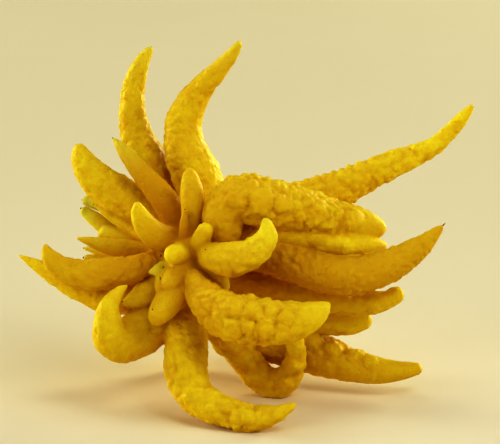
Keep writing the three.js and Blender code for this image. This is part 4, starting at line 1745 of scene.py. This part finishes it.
@dataclass
class StyleRemnants:
    """The dry dark ends that the styles left: stubs on fingertips and a few stuck in the heart.

    Attributes:
        hand: the hand's frame.
        on_tips: finger name, length and radius of each stub on a fingertip.
        in_heart: x, z, length, radius and sideways tilt of each stub seen from the front.
        sunk: how deep a stub on a fingertip stands in the rind.
        sides: how many sides a stub has.
        rings: how many rings of points it has.
        below: how much of it lies below its foot, as a share of its length.
        crumple: how uneven it is round its axis, as a share of its radius.
        droop: how far its end bends to one side, as a share of its length.
    """

    hand: HandFrame
    on_tips: Sequence[tuple[str, float, float]] = (
        ("tall_left", 0.8, 0.45), ("lance", 0.7, 0.35), ("sliver", 0.8, 0.35), ("long_point", 2.6, 0.28),
        ("green_upper", 0.7, 0.5), ("green_lower", 0.9, 0.6), ("peek_upper", 0.7, 0.35),
        ("peek_lower", 0.8, 0.5), ("petal", 0.8, 0.5), ("left_thin", 0.4, 0.3),
    )
    in_heart: Sequence[tuple[float, float, float, float, float]] = (
        (6.0, 17.4, 0.6, 0.4, 0.1), (-14.6, 1.2, 2.0, 0.28, -0.8), (-13.2, 3.2, 1.6, 0.24, 0.5),
        (-13.4, -4.8, 1.4, 0.24, 0.7), (-14.6, -10.6, 1.6, 0.28, 0.9), (-18.4, -25.6, 0.9, 0.3, 0.6),
        (8.0, 4.2, 0.6, 0.25, 0.2),
    )
    sunk: float = 0.35
    sides: int = 7
    rings: int = 6
    below: float = 0.35
    crumple: float = 0.22
    droop: float = 0.25

    def build(self, rind: bpy.types.Object) -> bpy.types.Object:
        """Makes all the stubs as one piece.

        Args:
            rind: the finished rind, which the stubs in the heart stand on.

        Returns:
            The piece.
        """
        piece = self._shape([*self._tip_stubs(), *self._heart_stubs(rind)])
        piece.data.materials.append(StyleFinish().material())
        return piece

    def _tip_stubs(self) -> Iterator[Stub]:
        """The stubs on the fingertips.

        Yields:
            The stubs, each along its finger.
        """
        for name, length, radius in self.on_tips:
            centre, way, tip_radius = FINGER_NAMED[name].tip()
            foot = self.hand.place(centre + way * (tip_radius - self.sunk)) / MM
            yield Stub(foot, self.hand.turn(way), length, radius)

    def _heart_stubs(self, rind: bpy.types.Object) -> Iterator[Stub]:
        """The stubs in the heart, each where a straight line from the front meets the rind.

        Args:
            rind: the finished rind.

        Yields:
            The stubs, tilted sideways from the rind's own facing.
        """
        tree = BVHTree.FromObject(rind, bpy.context.evaluated_depsgraph_get())
        forward = self.hand.turn(np.array([0.0, 1.0, 0.0]))
        for x, z, length, radius, tilt in self.in_heart:
            start = self.hand.place(np.array([x, -60.0, z]))
            hit, normal, _, _ = tree.ray_cast(Vector(start), Vector(forward))
            way = np.array(normal) + tilt * self.hand.turn(np.array([0.7, 0.0, 0.7]))
            yield Stub(np.array(hit) / MM, way / np.linalg.norm(way), length, radius)

    def _shape(self, stubs: Sequence[Stub]) -> bpy.types.Object:
        """Carries one crumpled, tapering profile up every stub at once.

        A stub's radius falls as a power of the height, uneven round it, and its axis bends a
        little to one side; it starts below the rind and closes in a point.

        Args:
            stubs: the stubs.

        Returns:
            The piece, not dressed yet.
        """
        feet = np.array([stub.foot for stub in stubs])
        ways = np.array([stub.way for stub in stubs])
        lengths = np.array([stub.length for stub in stubs])
        radii = np.array([stub.radius for stub in stubs])
        up = np.linspace(-self.below, 1.0, self.rings)
        angle = np.linspace(0, 2 * math.pi, self.sides, endpoint=False)
        helper = np.where(np.abs(ways[:, :1]) < 0.8, [[1.0, 0.0, 0.0]], [[0.0, 1.0, 0.0]])
        side = np.cross(ways, helper)
        side /= np.linalg.norm(side, axis=1, keepdims=True)
        other = np.cross(ways, side)
        taper = np.clip(1 - np.clip(up, 0, 1) ** 1.6, 0, 1) ** 0.7
        number = np.arange(len(feet))[:, None, None]
        phase = 3 * angle[None, None, :] + 2.1 * number + 4 * up[None, :, None]
        radius = radii[:, None, None] * taper[None, :, None] * (1 + self.crumple * np.sin(phase))
        lift = lengths[:, None] * up[None, :]
        bend = self.droop * lengths[:, None] * np.clip(up, 0, 1)[None, :] ** 2
        centre = (
            feet[:, None, :] + ways[:, None, :] * lift[..., None] + side[:, None, :] * bend[..., None]
        )
        points = (
            centre[:, :, None, :]
            + side[:, None, None, :] * (radius * np.cos(angle))[..., None]
            + other[:, None, None, :] * (radius * np.sin(angle))[..., None]
        )
        per_stub = self.rings * self.sides
        faces = grid_faces(self.rings, self.sides)
        all_faces = (faces[None] + per_stub * np.arange(len(feet))[:, None, None]).reshape(-1, 4)
        piece = mesh_object("style_remnants", points.reshape(-1, 3) * MM, all_faces)
        close_and_face_out(piece)
        return piece


def close_and_face_out(piece: bpy.types.Object) -> None:
    """Merges a piece's doubled points, closes its open rims and turns its faces outwards.

    Args:
        piece: the piece to mend.
    """
    work = bmesh.new()
    work.from_mesh(piece.data)
    bmesh.ops.remove_doubles(work, verts=work.verts, dist=0.5e-5)
    bmesh.ops.holes_fill(work, edges=[edge for edge in work.edges if edge.is_boundary], sides=0)
    bmesh.ops.recalc_face_normals(work, faces=work.faces)
    work.to_mesh(piece.data)
    work.free()


# ---- The stem end ----


@dataclass
class Calyx:
    """The button at the stem end: five blunt dry lobes on a thick wrinkled disc.

    Attributes:
        hand: the hand's frame.
        lobes: how many lobes it has.
        notch: how deep the notches between lobes are, as a share of the radius.
        folds: how many fine folds run outwards.
        fold_height: how high they are at the rim, as a share of the thickness.
        curl: how far the lobes curl up at the rim, as a share of the thickness.
        edge_share: where the brown edge begins, as a share of the radius.
        edge_width: over how many millimetres it comes in.
        around: points round the rim.
        profile: the outline, as shares of the radius and of the thickness.
    """

    hand: HandFrame
    lobes: int = 5
    notch: float = 0.24
    folds: int = 31
    fold_height: float = 0.05
    curl: float = 0.10
    edge_share: float = 0.66
    edge_width: float = 2.2
    around: int = 160
    profile: Sequence[tuple[float, float]] = (
        (0.02, 0.74), (0.25, 0.78), (0.45, 0.86), (0.62, 0.92), (0.78, 0.97), (0.90, 0.94),
        (0.97, 0.80), (0.99, 0.62), (0.95, 0.45), (0.86, 0.30), (0.70, 0.12), (0.45, -0.10),
        (0.02, -0.35),
    )

    def build(self) -> bpy.types.Object:
        """Makes the calyx as a closed surface of angle and profile.

        The profile runs from the middle of the top over a rounded rim to the middle of the
        underside. The rim's radius follows a folded cosine, so the lobes are blunt and the
        notches sharp, and fine folds run outwards.

        Returns:
            The piece.
        """
        angle = np.linspace(0, 2 * math.pi, self.around, endpoint=False)
        profile = catmull_rom(np.array(self.profile), 3)
        share, height = profile[:, 0][:, None], profile[:, 1][:, None]
        lobe = 1 - self.notch * (1 - np.abs(np.cos(self.lobes * angle / 2)) ** 0.45)
        reach = share * CALYX_RADIUS * (1 + (lobe - 1) * share ** 2)
        folds = self.fold_height * np.sin(self.folds * angle + 2.0 * np.sin(3 * angle)) * share
        curl = self.curl * np.cos(self.lobes * angle) * share ** 3
        up = np.clip(height + folds + curl, -0.35, 1.0) * CALYX_THICKNESS + GAP
        points = self.hand.round_stem(reach, angle, up)
        piece = mesh_object("calyx_button", points, grid_faces(len(profile), self.around))
        close_and_face_out(piece)
        middle = self.hand.place(STEM_END) / MM
        out = np.linalg.norm(read_points(piece.data) / MM - middle, axis=1)
        edge = np.clip((out - self.edge_share * CALYX_RADIUS) / self.edge_width, 0, 1)
        write_attribute(piece.data, "edge", edge)
        piece.data.materials.append(SepalFinish().material())
        return piece


@dataclass
class Stalk:
    """The clipped stalk: a fluted woody stub with a flared foot and a pale cut end.

    Attributes:
        hand: the hand's frame.
        flutes: how many lengthwise ridges it has.
        around: points round it.
        sunk: how deep its foot stands in the calyx.
        cut_share: the radius of the sawn face, as a share of the stalk's.
        ring_pitch: the distance between two rings of the wood.
        flute_depth: how deep the ridges are cut, as a share of the radius.
        wrinkle_depth: how deep the fine lines between them are, as a share of the radius.
        face_dip: how far the sawn face lies below the stalk's end.
        face_wave: how high its rings are.
    """

    hand: HandFrame
    flutes: int = 7
    around: int = 72
    sunk: float = 0.7
    cut_share: float = 0.84
    ring_pitch: float = 0.55
    flute_depth: float = 0.035
    wrinkle_depth: float = 0.02
    face_dip: float = 0.12
    face_wave: float = 0.10

    def build(self) -> bpy.types.Object:
        """Makes the stalk as a closed surface of angle and profile.

        The profile is the radius against the length: a flared foot sunk into the calyx, a waist,
        a slight swelling at the cut, and the sawn face with its low rings. The flutes are a cosine
        of the angle that twists a little, with a finer folded sine between them.

        Returns:
            The piece.
        """
        angle = np.linspace(0, 2 * math.pi, self.around, endpoint=False)
        flare, thick, length = STALK_RADIUS * STALK_FLARE, STALK_RADIUS, STALK_LENGTH
        side = catmull_rom(np.array([
            (flare * 0.99, -self.sunk), (flare * 0.97, 0.3), (thick * 1.12, 1.6), (thick * 0.98, 3.6),
            (thick * 0.93, 6.5), (thick * 0.96, 9.2), (thick * 0.92, length - 0.35),
            (thick * self.cut_share, length - 0.02),
        ]), 6)
        face_share = np.linspace(0.96, 0.03, 16)
        face = np.stack([
            thick * self.cut_share * face_share,
            length - self.face_dip - self.face_wave * np.cos(15 * face_share),
        ], axis=-1)
        foot = np.array([[0.2, -self.sunk], [flare * 0.5, -self.sunk]])
        profile = np.vstack([foot, side, face])
        radius, up = profile[:, 0][:, None], profile[:, 1][:, None]
        is_side = np.zeros(len(profile))
        is_side[len(foot):len(foot) + len(side)] = 1
        broad = self.flute_depth * (1 + np.cos(self.flutes * angle + 0.25 * up)) / 2
        fine = self.wrinkle_depth * np.abs(np.sin(9.5 * angle + up))
        reach = radius * (1 - is_side[:, None] * (broad + fine))
        points = self.hand.round_stem(reach, angle, CALYX_THICKNESS + 2 * GAP + up)
        piece = mesh_object("stalk_stub", points, grid_faces(len(profile), self.around))
        close_and_face_out(piece)
        self._mark_cut(piece)
        piece.data.materials.append(BarkFinish().material())
        return piece

    def _mark_cut(self, piece: bpy.types.Object) -> None:
        """Stores where the sawn face is, and its rings as a wave of the distance from the middle.

        Args:
            piece: the stalk.
        """
        foot = self.hand.place(STEM_END + [0, CALYX_THICKNESS + 2 * GAP, 0])
        away = (read_points(piece.data) - foot) / MM
        axis = self.hand.turn(np.array([0.0, 1.0, 0.0]))
        up = away @ axis
        out = np.linalg.norm(away - up[:, None] * axis, axis=1)
        cut = (up > STALK_LENGTH - 0.3) & (out < self.cut_share * STALK_RADIUS)
        write_attribute(piece.data, "cut", cut * 1.0)
        write_attribute(piece.data, "ring", 0.5 + 0.5 * np.sin(2 * math.pi * out / self.ring_pitch))


# ---- The studio ----


@dataclass(frozen=True)
class Lamp:
    """One soft square light, placed by its bearing from the fruit.

    Attributes:
        name: its name.
        bearing: degrees round from the camera's side, to the right.
        height: degrees above the table.
        distance: from the fruit, in metres.
        size: its side, in metres.
        power: its strength in watts.
        tint: its colour.
    """

    name: str
    bearing: float
    height: float
    distance: float
    size: float
    power: float
    tint: Colour

    def build(self, target: np.ndarray) -> None:
        """Makes the light and points it at a target.

        Args:
            target: a place in the row's frame, in metres.
        """
        light = bpy.data.lights.new(self.name, "AREA")
        light.energy, light.size, light.color = self.power, self.size, self.tint
        made = bpy.data.objects.new(self.name, light)
        made.visible_camera = False
        round_it, up = math.radians(self.bearing), math.radians(self.height)
        way = Vector((
            math.sin(round_it) * math.cos(up), -math.cos(round_it) * math.cos(up), math.sin(up),
        ))
        made.location = Vector(target) + self.distance * way
        made.rotation_euler = (-way).to_track_quat("-Z", "Y").to_euler()
        bpy.context.scene.collection.objects.link(made)


@dataclass
class Studio:
    """A cream table under soft light, and the camera in front of the heart.

    Attributes:
        hand: the hand's frame.
        aim: the point of the hand's frame in the middle of the view.
        distance: from the camera to that point, in millimetres.
        view_width: how much of the hand's width fills the view at that distance.
        table_side: the table's side, in metres.
        lamps: the soft walls of the light tent, and smaller lamps that draw the shadows.
        film: how steeply red, green and blue fall away below the white, as powers.
        film_white: the red, green and blue that the film leaves as they are.
        film_stops: where the film's curves have points, as shares of the white.
    """

    hand: HandFrame
    aim: Sequence[float] = (30.0, 0.0, 18.0)
    distance: float = 2000.0
    view_width: float = 250.0
    table_side: float = 8.0
    lamps: Sequence[Lamp] = (
        Lamp("left_back", -120, 10, 2.6, 1.3, 60.0, WARM),
        Lamp("right_back", 135, 10, 2.6, 1.3, 76.0, WARM),
        Lamp("left_wall", -60, 10, 2.6, 1.3, 24.0, PLAIN),
        Lamp("right_wall", 75, 20, 2.6, 1.3, 26.0, PLAIN),
        Lamp("back_high", -130, 65, 2.6, 1.3, 18.0, PLAIN),
        Lamp("key", 35, 45, 0.62, 0.3, 1.5, PLAIN),
        Lamp("fill", -35, 20, 0.62, 0.3, 0.6, PLAIN),
        Lamp("top", 0, 80, 0.62, 0.3, 0.5, PLAIN),
    )
    film: Sequence[float] = (1.35, 1.6, 1.7)
    film_white: Sequence[float] = (0.80, 0.645, 0.33)
    film_stops: Sequence[float] = (0.08, 0.2, 0.4, 0.7)

    def build(self) -> None:
        """Makes the table, the lights, the dark round them, the film and the camera."""
        self._table()
        target = self.hand.place(np.array(self.aim))
        for lamp in self.lamps:
            lamp.build(target)
        self._surroundings()
        self._film()
        self._camera()

    def _table(self) -> None:
        """A flat table top at the height that the fruit rests on."""
        half = self.table_side / 2
        corners = np.array([(-half, -half, 0), (half, -half, 0), (half, half, 0), (-half, half, 0)])
        top = mesh_object("table", corners, np.array([[0, 1, 2, 3]]))
        top.data.materials.append(TableFinish().material())

    @staticmethod
    def _surroundings() -> None:
        """Darkness beyond the lamps, and light that bounces often between the fingers."""
        world = bpy.data.worlds.new("studio")
        world.use_nodes = True
        world.node_tree.nodes["Background"].inputs["Strength"].default_value = 0.0
        scene = bpy.context.scene
        scene.world = world
        scene.cycles.diffuse_bounces = 8
        scene.cycles.max_bounces = 12

    def _film(self) -> None:
        """Tone curves, one for each colour, before it is shown.

        Below the white a colour is the white times a power of its ratio to the white. Above it
        the curve goes on to 1 along a power halfway between that one and 1.
        """
        view = bpy.context.scene.view_settings
        view.view_transform = "Standard"
        view.use_curve_mapping = True
        view.curve_mapping.extend = "EXTRAPOLATED"
        for curve, power, white in zip(view.curve_mapping.curves, self.film, self.film_white):
            for share in self.film_stops:
                curve.points.new(white * share, white * share ** power)
            curve.points.new(white, white)
            curve.points[-1].location = (1.0, white * (1 / white) ** (0.5 + 0.5 * power))
        view.curve_mapping.update()

    def _camera(self) -> None:
        """A long lens that looks along the growth axis, level with the hand's own frame."""
        lens = bpy.data.cameras.new("camera")
        lens.sensor_width = 36.0
        lens.lens = lens.sensor_width * self.distance / self.view_width
        lens.clip_end = 20.0
        eye = bpy.data.objects.new("camera", lens)
        eye.location = self.hand.place(np.array(self.aim) - [0, self.distance, 0])
        eye.rotation_euler = (math.pi / 2 - LEAN, 0.0, 0.0)
        bpy.context.scene.collection.objects.link(eye)
        bpy.context.scene.camera = eye


# ---- All of it ----


def take_in(piece: bpy.types.Object, slot: str, *nodes: str) -> None:
    """Lets a piece ride on the fruit's body, hides the frame's nodes that it replaces, and reports it.

    Args:
        piece: the finished piece.
        slot: not used.
        nodes: the frame's nodes that it replaces.
    """
    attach(piece, BODY)
    if nodes:
        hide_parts(*nodes)
    log.info("%s: %d triangles", piece.name, triangle_count(piece))


def main() -> None:
    """Builds the studio and then the fruit, piece by piece."""
    logging.basicConfig(level=logging.INFO, format="%(name)s %(message)s", stream=sys.stdout)
    hand = HandFrame()
    Studio(hand).build()
    rind = Fruit(hand).build()
    take_in(rind, "rind", "fruit")
    take_in(StyleRemnants(hand).build(rind), "wood")
    take_in(Calyx(hand).build(), "sepal", "calyx")
    take_in(Stalk(hand).build(), "wood", "stalk")


if __name__ == "__main__":
    main()
